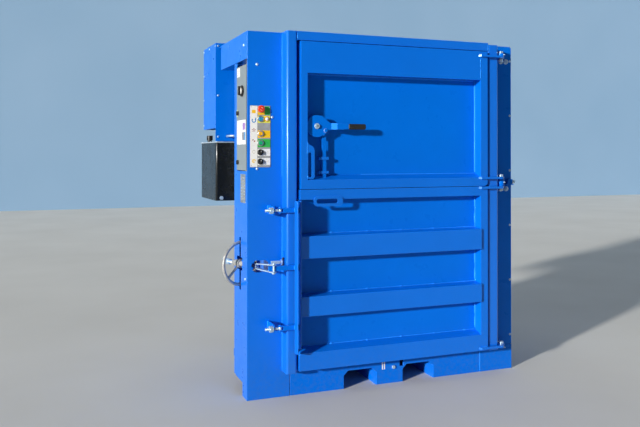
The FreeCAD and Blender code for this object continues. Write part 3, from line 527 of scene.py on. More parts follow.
b = bmesh.new()
for k, (z0, z1) in enumerate(((1012, 1076), (912, 978), (672, 752), (580, 642), (368, 436), (286, 350))):
    bead(b, R(1411.5, -36, z0), R(1411.5, -36, z1), 5.2, normal=Vector((-1, -1, 0)), seed=40 + k, wob=0.35)
bead(b, R(1412.5, -36, 282), R(1412.5, -36, 1078), 2.0, normal=Vector((-1, -1, 0)), seed=47)
for z in (893.5, 566.5):
    bead(b, R(316, -35.8, z), R(1409, -35.8, z), 2.2, normal=Vector((0, -1, 1)), seed=int(z), wob=0.3)
    bead(b, R(1290, -36, z + 0.5), R(1409, -36, z + 0.5), 3.6, normal=Vector((0, -1, 1)), seed=int(z) + 1, wob=0.3)
    for x in (476, 696, 912, 1128, 1340):
        bead(b, R(x - 9, -37, z + 1.2), R(x + 9, -37, z + 1.2), 4.6, normal=Vector((0, -1, 1)), seed=int(x))
for z in (760, 447):
    bead(b, R(316, -36, z - 0.5), R(1409, -36, z - 0.5), 2.2, normal=Vector((0, -1, -1)), seed=int(z), wob=0.3)
bead(b, R(316, -35.8, 276), R(1409, -35.8, 276), 2.2, normal=Vector((0, -1, 1)), seed=61, wob=0.3)
for x in (476, 696, 912, 1128, 1340):
    bead(b, R(x - 9, -37, 277), R(x + 9, -37, 277), 4.6, normal=Vector((0, -1, 1)), seed=int(x) + 3)
bead(b, R(316, -36, 1083), R(1409, -36, 1083), 2.4, normal=Vector((0, -1, -1)), seed=62)
# rib ends at the right stile and at the edge plate
for z0, z1 in ((765, 886), (452, 559)):
    bead(b, R(1414.5, -98.6, z0 + 4), R(1414.5, -98.6, z1 - 4), 2.4, normal=-Y, seed=int(z0) + 5)
    bead(b, R(275.2, -110.2, z0 + 6), R(275.2, -110.2, z1 - 6), 1.6, normal=Vector((1, -1, 0)), seed=int(z0) + 6)
for z in (1123.6, 178.4):
    bead(b, R(1418, -98.6, z), R(1458, -98.6, z), 2.2, normal=-Y, seed=int(z))
# arms to the edge plate
for z, n in ((1030, 12.5), (722, 12.5), (400, 12.5)):
    for s in (-1, 1):
        bead(b, R(265.8, -104, z + s * n), R(265.8, -89, z + s * n), 2.6, normal=Vector((-1, 0, s)), seed=int(z) + s)
    bead(b, R(234.8, -105.4, z - 11), R(234.8, -105.4, z + 11), 2.2, normal=Vector((-1, -1, 0)), seed=int(z) + 9)
    bead(b, R(243.2, -105.4, z - 11), R(243.2, -105.4, z + 11), 2.2, normal=Vector((1, -1, 0)), seed=int(z) + 10)
piece("bale_door_welds", b, "weld", "bale_door", smooth=60)

b = bmesh.new()
# frame: post feet and heads, base joint, catches, lugs
bead(b, R(1468.9, -0.6, 6), R(1468.9, -0.6, 147), 2.6, normal=-Y, seed=70)
for x in (258.4, 1474.6):
    bead(b, R(x, -85.2, 1955), R(x, -85.2, 1988), 2.0, normal=-Y, seed=int(x))
for az in (1030, 400):
    for s in (115.6, 124.4):
        bead(b, R(s, -0.8, az - 22), R(s, -0.8, az + 22), 2.6, normal=Vector((-1 if s < 120 else 1, -1, 0)), seed=int(az + s))
for z in (1926, 1944.6, 1137, 1181, 165):
    bead(b, R(1560, -0.9, z), R(1636, -0.9, z), 2.6, normal=Vector((0, -1, 1 if z in (1944.6, 1181, 165) else -1)), seed=int(z))
bead(b, R(198, -0.6, 1210), R(198, -0.6, 1990), 2.0, normal=Vector((-1, -1, 0)), seed=80, wob=0.3)
bead(b, R(198, -0.6, 150), R(198, -0.6, 1000), 2.0, normal=Vector((-1, -1, 0)), seed=81, wob=0.3)
for k, x in enumerate((300, 560, 820, 1080, 1340)):
    bead(b, R(x, 10.4, 150.2), R(x + 70, 10.4, 150.2), 2.6, normal=Vector((0, -1, 1)), seed=90 + k)
for fx in (669, 1043):
    bead(b, R(fx - 70, 10.6, 99.5), R(fx + 70, 10.6, 99.5), 2.2, normal=Vector((0, 1, 1)), seed=int(fx))
piece("frame_welds", b, "weld", "frame", smooth=60)

# back wall and side seams
b = bmesh.new()
for z in (1120, 1180, 1500, 1560, 1900, 1960):
    s = -1 if z in (1120, 1500, 1900) else 1
    for k in range(8):
        x = 300 + k * 140
        bead(b, R(x, 800.6, z + s * 0.4), R(x + 60, 800.6, z + s * 0.4), 3.0, normal=Vector((0, 1, s)), seed=int(z) + k)
for z in range(200, 1950, 190):
    bead(b, R(276.6, 798, z), R(276.6, 798, z + 70), 2.8, normal=Vector((-1, 1, 0)), seed=int(z))
    bead(b, R(1443.4, 798, z), R(1443.4, 798, z + 70), 2.8, normal=Vector((1, 1, 0)), seed=int(z) + 1)
piece("back_welds", b, "weld", "frame", smooth=60)

# ------------------------------------------------------------ swing bolts
AYM = -96.5
for tag, az in (("top", 1030.0), ("bottom", 400.0)):
    b = bmesh.new()
    thread(b, R(128, AYM, az), -X, 8.0, 55, 2.0, 1.15, seg=24)
    lathe(b, [(0, 0), (7.1, 0), (7.1, 23.5), (6.6, 24), (0, 24)], R(151, AYM, az), -X, 32)
    c = 1.2
    lathe(b, [(5.06, -8.2), (8.4 - c, -8.2), (8.4, -8.2 + c), (8.4, 8.2 - c), (8.4 - c, 8.2), (5.06, 8.2)],
          R(156, AYM, az), Z, 40, closed=True)
    o = piece("swing_bolt_%s_thread" % tag, b, "zinc", "swing_bolt_" + tag, smooth=50)
    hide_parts("swing_bolt_" + tag)
    # nut with chamfered corners, seated on a pressed washer
    b = bmesh.new()
    af = 32.0
    rc = af / math.sqrt(3)
    pts = [(rc * math.cos(math.radians(60 * i)), rc * math.sin(math.radians(60 * i))) for i in range(6)]
    rings = []
    # faces of the hexagon drawn in towards the corner chamfers
    for t, k in ((96.0, 0.90), (97.6, 1.0), (110.4, 1.0), (112.0, 0.90)):
        ring = []
        for i in range(6):
            p0, p1 = pts[i], pts[(i + 1) % 6]
            for q in range(4):
                f = q / 4
                y, z = p0[0] + (p1[0] - p0[0]) * f, p0[1] + (p1[1] - p0[1]) * f
                rad = math.hypot(y, z)
                lim = af / 2 if k < 1 else 99
                sc = min(1.0, lim / rad) if k < 1 else 1.0
                ring.append(b.verts.new(R(t, AYM + y * sc, az + z * sc)))
        rings.append(ring)
    for p_, q_ in zip(rings, rings[1:]):
        for i in range(24):
            j = (i + 1) % 24
            b.faces.new((p_[i], q_[i], q_[j], p_[j]))
    for ring, t in ((rings[0], 96.0), (rings[-1], 112.0)):
        inner = [b.verts.new(R(t, AYM + 8.05 * math.cos(2 * math.pi * i / 24), az + 8.05 * math.sin(2 * math.pi * i / 24)))
                 for i in range(24)]
        for i in range(24):
            j = (i + 1) % 24
            b.faces.new((ring[i], ring[j], inner[j], inner[i]))
        if t == 96.0:
            first = inner
        else:
            for i in range(24):
                j = (i + 1) % 24
                b.faces.new((first[i], first[j], inner[j], inner[i]))
    o = piece("clamp_nut_%s_hex" % tag, b, "zinc", "clamp_nut_" + tag, smooth=30)
    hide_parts("clamp_nut_" + tag)
    # washer between nut and catch rides with the bolt
    b = bmesh.new()
    washer(b, R(115.7, AYM, az), -X, 17.5, 8.15, 3.0)
    piece("clamp_washer_" + tag, b, "zinc", "swing_bolt_" + tag, smooth=40)

# ------------------------------------------------------------- screw lock
LA = math.radians(25.0)
LD = Vector((-math.sin(LA), math.cos(LA), 0))      # along the spindle, to the back left
LN = Vector((math.cos(LA), math.sin(LA), 0))       # across it, level
LP = R(118, -106, 722)


def L(t, n=0.0, z=0.0):
    return LP + LD * (t / 1000) + LN * (n / 1000) + Z * (z / 1000)


b = bmesh.new()
thread(b, L(152), LD, 11.0, 216, 5.0, 1.5, seg=28, per=5, tip=0.1)
lathe(b, [(0, 150), (9.4, 150), (9.4, 153), (0, 153)], LP, LD, 28)
# end fork: turned collar and two cheeks with rounded ends
lathe(b, [(0, 366), (15, 366), (16, 367), (16, 390.5), (14.5, 392), (0, 392)], LP, LD, 40)
for s in (1, -1):
    pts = [(391, -9), (391, 9)] + [(423 + 9 * math.cos(math.radians(a)), 9 * math.sin(math.radians(a)))
                                  for a in range(90, -91, -15)]
    pts = [(391, -9)] + [(423 + 9 * math.cos(math.radians(a)), 9 * math.sin(math.radians(a))) for a in range(-90, 91, 15)] + [(391, 9)]
    slab(b, pts, L(0, 0, 7 if s > 0 else -15), LD * 1.0, LN * 1.0, Z, 8)
o = piece("lock_spindle_thread", b, "zinc", "lock_screw", smooth=45)
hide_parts("lock_spindle")

b = bmesh.new()
WT, WR = 279.0, 116.0
hub = [(11.05, 232), (14, 232), (15, 233), (15, 267), (17, 268), (23, 268), (24, 269), (24, 289), (22.6, 290), (22, 291),
       (14.6, 333), (13.6, 334), (11.05, 334)]
lathe(b, hub, LP, LD, 64, closed=True)
seg, tube = 120, 20
rows = []
for i in range(seg):
    a = 2 * math.pi * i / seg
    rad = LN * math.cos(a) + Z * math.sin(a)
    row = []
    for j in range(tube):
        c = 2 * math.pi * j / tube
        row.append(b.verts.new(L(WT) + rad * ((WR + 8.9 * math.cos(c)) / 1000) + LD * (8.9 * math.sin(c) / 1000)))
    rows.append(row)
for i in range(seg):
    for j in range(tube):
        b.faces.new((rows[i][j], rows[(i + 1) % seg][j], rows[(i + 1) % seg][(j + 1) % tube], rows[i][(j + 1) % tube]))
for a in (221.0, 41.0):
    rad = LN * math.cos(math.radians(a)) + Z * math.sin(math.radians(a))
    # spoke with flared, welded ends
    lathe(b, [(0, 14), (11, 14), (9, 25), (7.6, 28), (6.5, 32), (6.5, 96), (7.4, 101), (9.2, 104.5), (9, 109), (0, 109)],
          L(WT), rad, 28)
o = piece("handwheel_turned", b, "galv", "handwheel", smooth=40)
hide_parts("handwheel")

# yoke pin washers and split pin
b = bmesh.new()
washer(b, L(0, 0, 22.6), Z, 11.5, 6.05, 1.6)
washer(b, L(0, 0, -22.6), -Z, 11.5, 6.05, 1.6)
lathe(b, [(0, -7), (1.5, -7), (1.5, 17), (0, 17)], L(0, 0, -25.8), LN, 12)
piece("yoke_pin_washers", b, "zinc", "lock_screw", smooth=40)

# collar and hitch pin on the rest rod beside the post; the pin is black as painted shade, standing in for a dark shadow
# mark beside the rod
b = bmesh.new()
lathe(b, [(14.05, 0), (15.2, 0), (15.6, 0.5), (15.6, 6.5), (15.2, 7), (14.05, 7)], R(186, -38, 744), -X, 40, closed=True)
lathe(b, [(8.05, 0), (9.4, 0), (9.4, 54), (8.9, 55), (8.05, 55)], R(176, -38, 744), -X, 32, closed=True)
piece("rest_rod_sleeve", b, "zinc", "frame", smooth=40)
b = bmesh.new()
lathe(b, [(0, 0), (3.6, 0), (3.6, 46), (5.6, 47), (5.6, 53), (3.6, 54.4), (0, 54.6)], R(188.5, -46.5, 716), Z, 24)
piece("rest_rod_pin_painted_shade", b, "rubber", "frame", smooth=40)

# ------------------------------------------------------------- latch lever
b = bmesh.new()
PX, PY, PZ = 374.0, -72.0, 1485.0
# moulded grip: rounded sleeve with finger grooves
n, m_ = 44, 28
x0, x1 = 553.2, 656.8
rows = []
for k in range(n + 1):
    t = k / n
    x = x0 + (x1 - x0) * t
    e = min(t, 1 - t) * (x1 - x0)
    cap = math.sqrt(max(0.0, 1 - (1 - min(1.0, e / 9.0)) ** 2)) * 0.34 + 0.66 if e > 0.01 else 0.66
    groove = 1 - 0.055 * (0.5 + 0.5 * math.cos(2 * math.pi * (x - x0) / 11.5)) * (1 if 10 < e else 0)
    row = []
    for i in range(m_):
        a = 2 * math.pi * i / m_
        ca, sa = math.cos(a), math.sin(a)
        p_ = 3.2
        rr = (abs(ca / 10.6) ** p_ + abs(sa / 16.0) ** p_) ** (-1 / p_)
        rr *= cap * groove
        row.append(b.verts.new(R(x, -98 + rr * ca, 1483.5 + rr * sa)))
    rows.append(row)
for p_, q_ in zip(rows, rows[1:]):
    for i in range(m_):
        j = (i + 1) % m_
        b.faces.new((p_[i], q_[i], q_[j], p_[j]))
b.faces.new(rows[0])
b.faces.new(list(reversed(rows[-1])))
o = piece("latch_grip_moulded", b, "rubber", "latch_lever", smooth=50)
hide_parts("latch_grip")
b = bmesh.new()
washer(b, R(PX, -80.1, PZ), -Y, 16, 10.2, 1.3)
piece("latch_pivot_washer", b, "zinc", "load_door", smooth=40)
b = bmesh.new()
lathe(b, [(0, 0), (4.6, 0), (4.6, 0.6), (3.4, 2.6), (1.6, 3.6), (0, 3.8)], R(PX, -90.2, PZ), -Y, 28)
piece("latch_pivot_end", b, "steel", "load_door", smooth=40)
b = bmesh.new()
washer(b, R(PX + 50, -80.1, PZ - 24), -Y, 11.5, 6.1, 1.2)
piece("drive_pin_washer", b, "zinc", "latch_lever", smooth=40)

# ------------------------------------------------------------------ hinges
b = bmesh.new()
HX, HY = 1580.0, -60.0
for z in (1925.05, 1136.05, 1181.6, 165.6):
    t = 0.4
    washer(b, R(HX, HY, z), Z, 19.0, 10.1, t)
for z in (1957.2, 1206.5, 190.5):
    lathe(b, [(0, -0.2), (5.2, -0.2), (5.2, 1.6), (4.2, 3.4), (2.0, 4.6), (0, 5.0)], R(HX, HY, z), Z, 28)
for z in (1936, 1160, 158):
    # grease nipple on the knuckle's front
    lathe(b, [(0, -1), (3.6, -1), (3.6, 4), (2.4, 4.6), (2.4, 6), (3.1, 7.2), (2.6, 9.2), (1.0, 10.2), (0, 10.3)],
          R(HX + 10, HY - 19.6, z), Vector((0.46, -0.89, 0)), 20)
piece("hinge_trim", b, "zinc", "frame", smooth=40)

# washers and heads of the bolts beside the hinges
b = bmesh.new()
for x, z in ((1622, 1116), (1660, 1116), (1622, 1905), (1660, 1905)):
    washer(b, R(x, -0.05, z), -Y, 16, 7, 2.4)
    lathe(b, [(0, 0), (6.9, 0), (6.9, 4.0), (6.0, 5.4), (0, 5.4)], R(x, -11.9, z), -Y, 28)
piece("bolt_washers", b, "zinc", "frame", smooth=40)

# --------------------------------------------------- cover screws at the side
b = bmesh.new()
def dome_screw(b, at, n, r=6.5, h=3.6):
    """button head with a round socket recess"""
    u, w, a = basis(n)
    s = 0.36 * r
    prof = [(r * 1.35, 0.0), (r * 1.35, 0.9), (r, 1.0), (r * 0.97, 1.0 + h * 0.35), (r * 0.8, 1.0 + h * 0.72), (r * 0.55, 1.0 + h * 0.93),
            (s * 1.05, 1.0 + h), (s * 0.95, 1.0 + h * 0.9), (s * 0.95, 1.0 + h * 0.35), (0, 1.0 + h * 0.35)]
    lathe(b, [(0, 0)] + prof, at, n, 24)


for z in range(190, 1960, 295):
    dome_screw(b, R(1700, 14, z), X)
    dome_screw(b, R(1700, 628, z), X)
for z in range(210, 1960, 340):
    dome_screw(b, R(1690, 0, z), -Y, 5.5, 3.0)
piece("right_cover_screws", b, "zinc", "frame", smooth=40)

b = bmesh.new()
for y in (702, 866, 1031):
    dome_screw(b, R(-15, y, 2012), -X, 5.0, 3.0)
for z in (1520, 1690, 1850):
    dome_screw(b, R(-15, 1031, z), -X, 5.0, 3.0)
for x, z in ((0, 1440), (235, 1440), (0, 1700), (235, 1700), (0, 2012), (235, 2012), (118, 2012)):
    dome_screw(b, R(x, 690, z), -Y, 5.0, 3.0)
for x in (0, 118, 235):
    for z in (1520, 1760, 2012):
        dome_screw(b, R(x, 1043, z), Y, 5.0, 3.0)
for x, y in ((-8, 690), (243, 690), (-8, 1109), (243, 1109), (-8, 860), (118, 1112), (243, 900)):
    dome_screw(b, R(x, y, 1409), Z, 5.5, 3.2)
piece("cover_screws", b, "zinc", "frame", smooth=40)

# -------------------------------------------------------------- electric motor
b = bmesh.new()
mc = R(150, 900, 0)
nf = 40
for i in range(nf):
    a = 2 * math.pi * i / nf
    u = Vector((math.cos(a), math.sin(a), 0))
    w = Vector((-math.sin(a), math.cos(a), 0))
    if u.x > 0.2 and u.y < -0.35 and u.y > -0.95:
        continue
    pts = [(78.5, -1.9), (92.5, -1.1), (93.2, 0), (92.5, 1.1), (78.5, 1.9)]
    slab(b, pts, mc + Z * 1.440, u, w, Z, 360)
lathe(b, [(84.2, 0), (93, 0), (94, 2), (94, 52), (90, 60), (82, 66), (30, 67), (30, 64), (80, 63), (84.2, 58)], mc + Z * 1.811, Z, 64, closed=True)
piece("motor_fins", b, "motor", "frame", smooth=35)
b = bmesh.new()
for x in (65, 115):
    # solenoid coils with connector caps
    lathe(b, [(16.2, 0), (20.5, 0), (21, 1), (21, 44), (19.5, 46), (16.2, 46)], R(x, 745, 1484), Z, 40, closed=True)
    slab(b, rrect(0, 0, 26, 30, 3), R(x, 767, 1506), X, Z, Y, 20)
piece("solenoid_coils", b, "blackp", "frame", smooth=35, mods=[bev(0.8)])
# pipe unions
b = bmesh.new()
for at, ax in ((R(60, 710, 1445), -Y), (R(100, 710, 1445), -Y), (R(130, 542.2, 1012), Y), (R(150, 542.2, 210), Y)):
    u, w, a = basis(ax)
    lathe(b, [(7.05, 0), (14.5, 0), (15.2, 0.8), (15.2, 14.2), (14.5, 15.0), (7.05, 15.0)], at, ax, 6, closed=True)
piece("pipe_unions", b, "zinc", "frame", smooth=25, mods=[bev(0.5)])

# ----------------------------------------------------------- control fascia
def tag(b, cx, cz, w, h, t=0.5, r=2.0, mat=0, y=-2.5):
    slab(b, rrect(cx, cz, w, h, r), Vector((OX / 1000, (OY + y) / 1000, 0)), X, Z, -Y, t, mat)


def flat(b, pts, t=0.25, mat=0, y=-3.0):
    slab(b, pts, Vector((OX / 1000, (OY + y) / 1000, 0)), X, Z, -Y, t, mat)


def arc_band(cx, cz, r0, r1, a0, a1, seg=24):
    out = [(cx + r1 * math.cos(math.radians(a0 + (a1 - a0) * i / seg)), cz + r1 * math.sin(math.radians(a0 + (a1 - a0) * i / seg)))
           for i in range(seg + 1)]
    inn = [(cx + r0 * math.cos(math.radians(a1 + (a0 - a1) * i / seg)), cz + r0 * math.sin(math.radians(a1 + (a0 - a1) * i / seg)))
           for i in range(seg + 1)]
    return out + inn


b = bmesh.new()
tag(b, 36.5, 1427.5, 40, 331, mat=0)                                   # white strip
tag(b, 78.5, 1568, 40, 46, mat=1)                                      # yellow beside the stop
tag(b, 114, 1568, 30, 46, mat=2)                                       # green end of that tag
tag(b, 94, 1520.5, 71, 38, mat=3)
tag(b, 94, 1440.5, 71, 40, mat=1)
tag(b, 94, 1391, 71, 44, mat=2)
tag(b, 94, 1340.5, 71, 38, mat=0)
tag(b, 94, 1291, 71, 38, mat=0)
piece("fascia_tags", b, ["white", "tag_yellow", "tag_green", "tag_pale"], "frame", smooth=0)

b = bmesh.new()
flat(b, rrect(36.5, 1562, 21, 18, 4), mat=0)                            # yellow patch
flat(b, arc_band(37, 1514, 7.5, 12.5, 130, 400), mat=1)                 # round arrow
flat(b, [(52.5, 1520), (42, 1519.5), (46.5, 1530)], mat=1)
for k in range(5):                                                      # burst
    a = math.radians(90 + 72 * k)
    a1, a2 = a + 0.5, a - 0.5
    flat(b, [(37 + 3.2 * math.cos(a1), 1462 + 3.2 * math.sin(a1)), (37 + 3.2 * math.cos(a2), 1462 + 3.2 * math.sin(a2)),
             (37 + 11 * math.cos(a - 0.16), 1462 + 11 * math.sin(a - 0.16)), (37 + 11 * math.cos(a + 0.16), 1462 + 11 * math.sin(a + 0.16))], mat=2)
flat(b, [(27, 1409), (36, 1413), (35, 1407.5), (29, 1404)], mat=2)
flat(b, [(36, 1406), (47, 1404), (41, 1397), (37, 1400)], mat=2)
flat(b, arc_band(37, 1344, 6.5, 9.5, 20, 330), mat=3)
flat(b, arc_band(37, 1294, 6.0, 10.0, 0, 300), mat=0)
flat(b, circle(37, 1294, 3.2, 20), mat=0)
flat(b, arc_band(109, 1391, 5.5, 8.0, 0, 350), mat=4, y=-3.0)
for z in (1340.5, 1291):
    for x in (98.5, 116.5):
        flat(b, rrect(x, z, 3.4, 15, 1.2), mat=3)
piece("fascia_marks", b, ["tag_yellow", "ink_blue", "ink_brown", "ink_pale", "green"], "frame", smooth=0)
b = bmesh.new()
for z in (1268, 1587):
    for x in (21, 126):
        lathe(b, [(0, 0), (2.6, 0), (2.6, 0.5), (1.9, 1.2), (0, 1.5)], R(x, -2.9, z), -Y, 20)
piece("fascia_rivets", b, "alu", "frame", smooth=40)

# lamp: yellow ring with a clear-white lens
b = bmesh.new()
lathe(b, [(12.1, 0), (14.2, 0), (14.2, 2.2), (12.8, 4.2), (9.8, 4.2), (9.6, 3.4), (9.6, 0)][::1], R(110, -2.9, 1523), -Y, 48, closed=True)
piece("lamp_ring", b, "yellow", "frame", smooth=40)
b = bmesh.new()
lathe(b, [(0, 0), (9.3, 0), (9.3, 3.0), (8.6, 5.0), (6.6, 6.8), (3.6, 7.9), (0, 8.3)], R(110, -2.9, 1523), -Y, 48)
piece("lamp_lens", b, "white", "frame", smooth=60)

# emergency stop: collar and domed mushroom with a finger groove
b = bmesh.new()
lathe(b, [(0, 1.0), (10.8, 1.0), (10.8, 8.0), (13.5, 8.6), (18.6, 9.2), (19.8, 10.2), (20.0, 12.0), (19.6, 14.0), (18.2, 15.8), (15.0, 17.0),
          (10.0, 17.6), (4.0, 17.8), (0, 17.8)], R(74, -9.0, 1576), -Y, 64)
o = piece("emergency_stop_mushroom", b, "red", "emergency_stop", smooth=50)
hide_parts("emergency_stop")
b = bmesh.new()
flat(b, arc_band(74, 1576, 6.4, 7.6, 20, 110), 0.3, 0, y=-26.7)
flat(b, arc_band(74, 1576, 6.4, 7.6, 200, 290), 0.3, 0, y=-26.7)
piece("stop_turn_marks", b, "white", "emergency_stop", smooth=0)

# flush push buttons, dished caps
for nm, key, z in (("blue_button", "bluep", 1523.0), ("yellow_button", "yellow", 1443.0), ("green_button", "green", 1392.0)):
    b = bmesh.new()
    lathe(b, [(0, 0), (10.8, 0), (10.9, 0.4), (10.9, 4.8), (10.2, 5.7), (9.2, 6.0), (8.4, 5.8), (5.0, 5.2), (0, 5.0)], R(74, -7.5, z), -Y, 48)
    o = piece(nm + "_cap", b, key, nm, smooth=50)
    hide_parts(nm)

# selectors: round boss with a wing grip and a white pointer
for nm, z in (("selector_upper", 1341.0), ("selector_lower", 1291.0)):
    b = bmesh.new()
    lathe(b, [(0, 0), (10.6, 0), (10.9, 0.5), (10.9, 6.4), (10.0, 7.6), (0, 8.0)], R(74, -2.9, z), -Y, 48)
    wing = [(-3.0, -9.6), (3.0, -9.6), (3.9, -6), (3.9, 6), (2.6, 10.4), (-2.6, 10.4), (-3.9, 6), (-3.9, -6)]
    slab(b, wing, R(74, -9.6, z), X, Z, -Y, 9.2)
    o = piece(nm + "_knob", b, "blackp", nm, smooth=40, mods=[bev(0.8)])
    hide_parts(nm)
    b = bmesh.new()
    slab(b, rrect(0, 5.4, 1.6, 7.5, 0.7), R(74, -18.85, z), X, Z, -Y, 0.25)
    piece(nm + "_pointer", b, "white", nm, smooth=0)

# bezels in metal and black
for nm, key, zs in (("bezels_chrome", "alu", (1523.0, 1443.0, 1392.0)), ("bezels_black", "blackp", (1341.0, 1291.0))):
    b = bmesh.new()
    for z in zs:
        lathe(b, [(15.55, 0), (17.0, 0), (17.0, 1.2), (16.4, 5.4), (15.2, 6.4), (12.2, 6.5), (11.5, 5.9), (11.5, 6.0), (15.55, 6.02)],
              R(74, -3.0, z), -Y, 48, closed=True)
    piece(nm, b, key, "frame", smooth=45)

# --------------------------------------------------- control box and its door
def side(b, cy, cz, w, h, t=0.4, r=1.5, mat=0, x=0.0, flip=False):
    """label on a face that looks to -X"""
    slab(b, rrect(cy, cz, w, h, r), Vector(((OX + x) / 1000, OY / 1000, 0)), Y, Z, -X, t, mat)


b = bmesh.new()
side(b, 122, 1452.5, 184, 135, mat=0)
side(b, 182, 1789, 62, 50, mat=0)
side(b, 212, 1561, 16, 40, mat=1)
piece("box_door_labels", b, ["white", "tag_pale"], "box_door", smooth=0)
b = bmesh.new()
rows_ = [(1508, 172, 3.0), (1498, 150, 2.0), (1490, 176, 2.0), (1482, 120, 2.0), (1473, 168, 2.0), (1464, 176, 2.0), (1455, 140, 2.0),
         (1446, 172, 2.0), (1437, 92, 2.0), (1428, 176, 2.0), (1419, 158, 2.0), (1410, 176, 2.0), (1401, 66, 2.0)]
for k, (z, w, h) in enumerate(rows_):
    for (c0, c1) in ((206, 158), (152, 104)):
        ln = (c0 - c1) * (0.55 + 0.45 * ((k * 37) % 11) / 11)
        side(b, c0 - ln / 2, z, ln, h, 0.2, 0.6, 0, x=-0.4)
for z in (1798, 1786, 1776):
    side(b, 182, z, 50, 2.4, 0.2, 0.6, 0, x=-0.4)
side(b, 66, 1484, 52, 38, 0.2, 2.0, 1, x=-0.4)
side(b, 52, 1430, 26, 44, 0.2, 2.0, 2, x=-0.4)
side(b, 84, 1430, 24, 44, 0.2, 2.0, 3, x=-0.4)
piece("box_door_print", b, ["ink_pale", "ink_violet", "ink_blue", "ink_dark"], "box_door", smooth=0)

# isolator: black escutcheon with a white dial and a raised grip
b = bmesh.new()
lathe(b, [(0, 0.3), (29.5, 0.3), (31, 1.6), (31, 8.8), (28.6, 11.6), (24, 12.2), (20.2, 12.2), (19.4, 10.8), (0, 10.8)], R(0, 96, 1680), -X, 64)
piece("isolator_ring", b, "blackp", "isolator_knob", smooth=45)
b = bmesh.new()
lathe(b, [(0, 10.9), (19.0, 10.9), (19.0, 12.0), (17.8, 13.0), (0, 13.2)], R(0, 96, 1680), -X, 48)
piece("isolator_dial", b, "white", "isolator_knob", smooth=45)
b = bmesh.new()
grip = [(-6.4, -24), (6.4, -24), (8, -19), (6.6, -4), (6.6, 8), (7.6, 20), (4.5, 26), (-4.5, 26), (-7.6, 20), (-6.6, 8), (-6.6, -4), (-8, -19)]
slab(b, grip, R(-13.0, 96, 1680), Y, Z, -X, 13.8)
o = piece("isolator_grip", b, "blackp", "isolator_knob", smooth=45, mods=[bev(2.2, 3)])
b = bmesh.new()
lathe(b, [(0, 0), (7.9, 0), (7.9, 16), (0, 16)], R(-0.3, 96, 1680), X, 32)
o2 = piece("isolator_shaft", b, "steel", "isolator_knob", smooth=45)
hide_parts("isolator_knob")
# cam locks: round boss with a wing, cam behind
for nm, z in (("upper", 1561.0), ("lower", 1285.0)):
    b = bmesh.new()
    lathe(b, [(0, 0.3), (12.6, 0.3), (13, 0.8), (13, 4.8), (11.6, 6.2), (0, 6.4)], R(0, 186, z), -X, 40)
    slab(b, [(-3.2, -11.5), (3.2, -11.5), (4, -8), (2.8, 0), (4, 8), (3.2, 11.5), (-3.2, 11.5), (-4, 8), (-2.8, 0), (-4, -8)],
         R(-6.2, 186, z), Y, Z, -X, 6.8)
    lathe(b, [(0, -0.3), (7.9, -0.3), (7.9, 13.7), (0, 13.7)], R(0, 186, z), X, 28)
    slab(b, [(-4, -7), (17, -7), (21.5, -3), (21.5, 3), (17, 7), (-4, 7)], R(9.7, 186, z), Y, Z, X, 4)
    o = piece("cam_lock_%s_wing" % nm, b, "blackp", "cam_lock_" + nm, smooth=45, mods=[bev(0.7)])
    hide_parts("cam_lock_" + nm)
# black knuckle caps on the box's hinges
b = bmesh.new()
for z in (1360, 1700):
    lathe(b, [(5.02, -29.8), (5.9, -29.8), (5.9, -1.2), (5.02, -1.2)], R(8, 14, z), Z, 28, closed=True)
piece("box_hinge_caps_fixed", b, "blackp", "frame", smooth=45)
b = bmesh.new()
for z in (1360, 1700):
    lathe(b, [(5.02, 0.2), (5.9, 0.2), (5.9, 29.2), (5.02, 29.2)], R(8, 14, z), Z, 28, closed=True)
piece("box_hinge_caps_moving", b, "blackp", "box_door", smooth=45)
# door gasket
b = bmesh.new()
x0 = 12.0
for (y0, y1, z0, z1) in ((25, 217, 1247, 1252), (25, 217, 1810, 1815), (25, 30, 1252, 1810), (212, 217, 1252, 1810)):
    slab(b, [(y0, z0), (y1, z0), (y1, z1), (y0, z1)], Vector(((OX + x0) / 1000, OY / 1000, 0)), Y, Z, X, 4.6)
piece("box_door_gasket", b, "rubber", "box_door", smooth=0, mods=[bev(0.8)])

# wiring looms and terminals inside the control box
b = bmesh.new()
for k in range(12):
    y = 64 + k * 10.4
    slab(b, rrect(y, 1380, 8.6, 70, 0.8), Vector(((OX + 199.8) / 1000, OY / 1000, 0)), Y, Z, -X, 4)
    lathe(b, [(0, 0), (2.6, 0), (2.6, 1.0), (0, 1.2)], R(195.6, y, 1402), -X, 16)
    lathe(b, [(0, 0), (2.6, 0), (2.6, 1.0), (0, 1.2)], R(195.6, y, 1358), -X, 16)
for k in range(3):
    y = 80 + k * 44
    slab(b, rrect(y, 1660, 32, 30, 1.5), Vector(((OX + 189.8) / 1000, OY / 1000, 0)), Y, Z, -X, 6)
piece("control_gear_faces", b, "white", "frame", smooth=0, mods=[bev(0.5)])
for j, key in enumerate(("ink_blue", "ink_dark", "ink_brown")):
    for k in range(3):
        cu = bpy.data.curves.new("loom_%d_%d" % (j, k), "CURVE")
        cu.dimensions = "3D"
        cu.bevel_depth = 0.0017
        cu.bevel_resolution = 2
        sp = cu.splines.new("NURBS")
        y0 = 70 + k * 42 + j * 8
        pts = [(192, y0, 1338), (186, y0, 1326), (184, y0 + 3, 1300), (200, 60 + j * 4 + k * 5, 1290), (222, 56 + j * 3 + k * 3, 1298),
               (236, 54 + j * 3 + k * 2, 1430), (238, 54 + j * 3 + k * 2, 1560), (226, 60 + j * 3, 1590), (200, y0 - 4, 1600), (196, y0, 1619)]
        sp.points.add(len(pts) - 1)
        for q, p_ in zip(sp.points, pts):
            q.co = (*R(*p_), 1)
        sp.order_u = 4
        sp.use_endpoint_u = True
        o = bpy.data.objects.new("loom_%d_%d" % (j, k), cu)
        scene.collection.objects.link(o)
        cu.materials.append(M[key])
        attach(o, "frame")

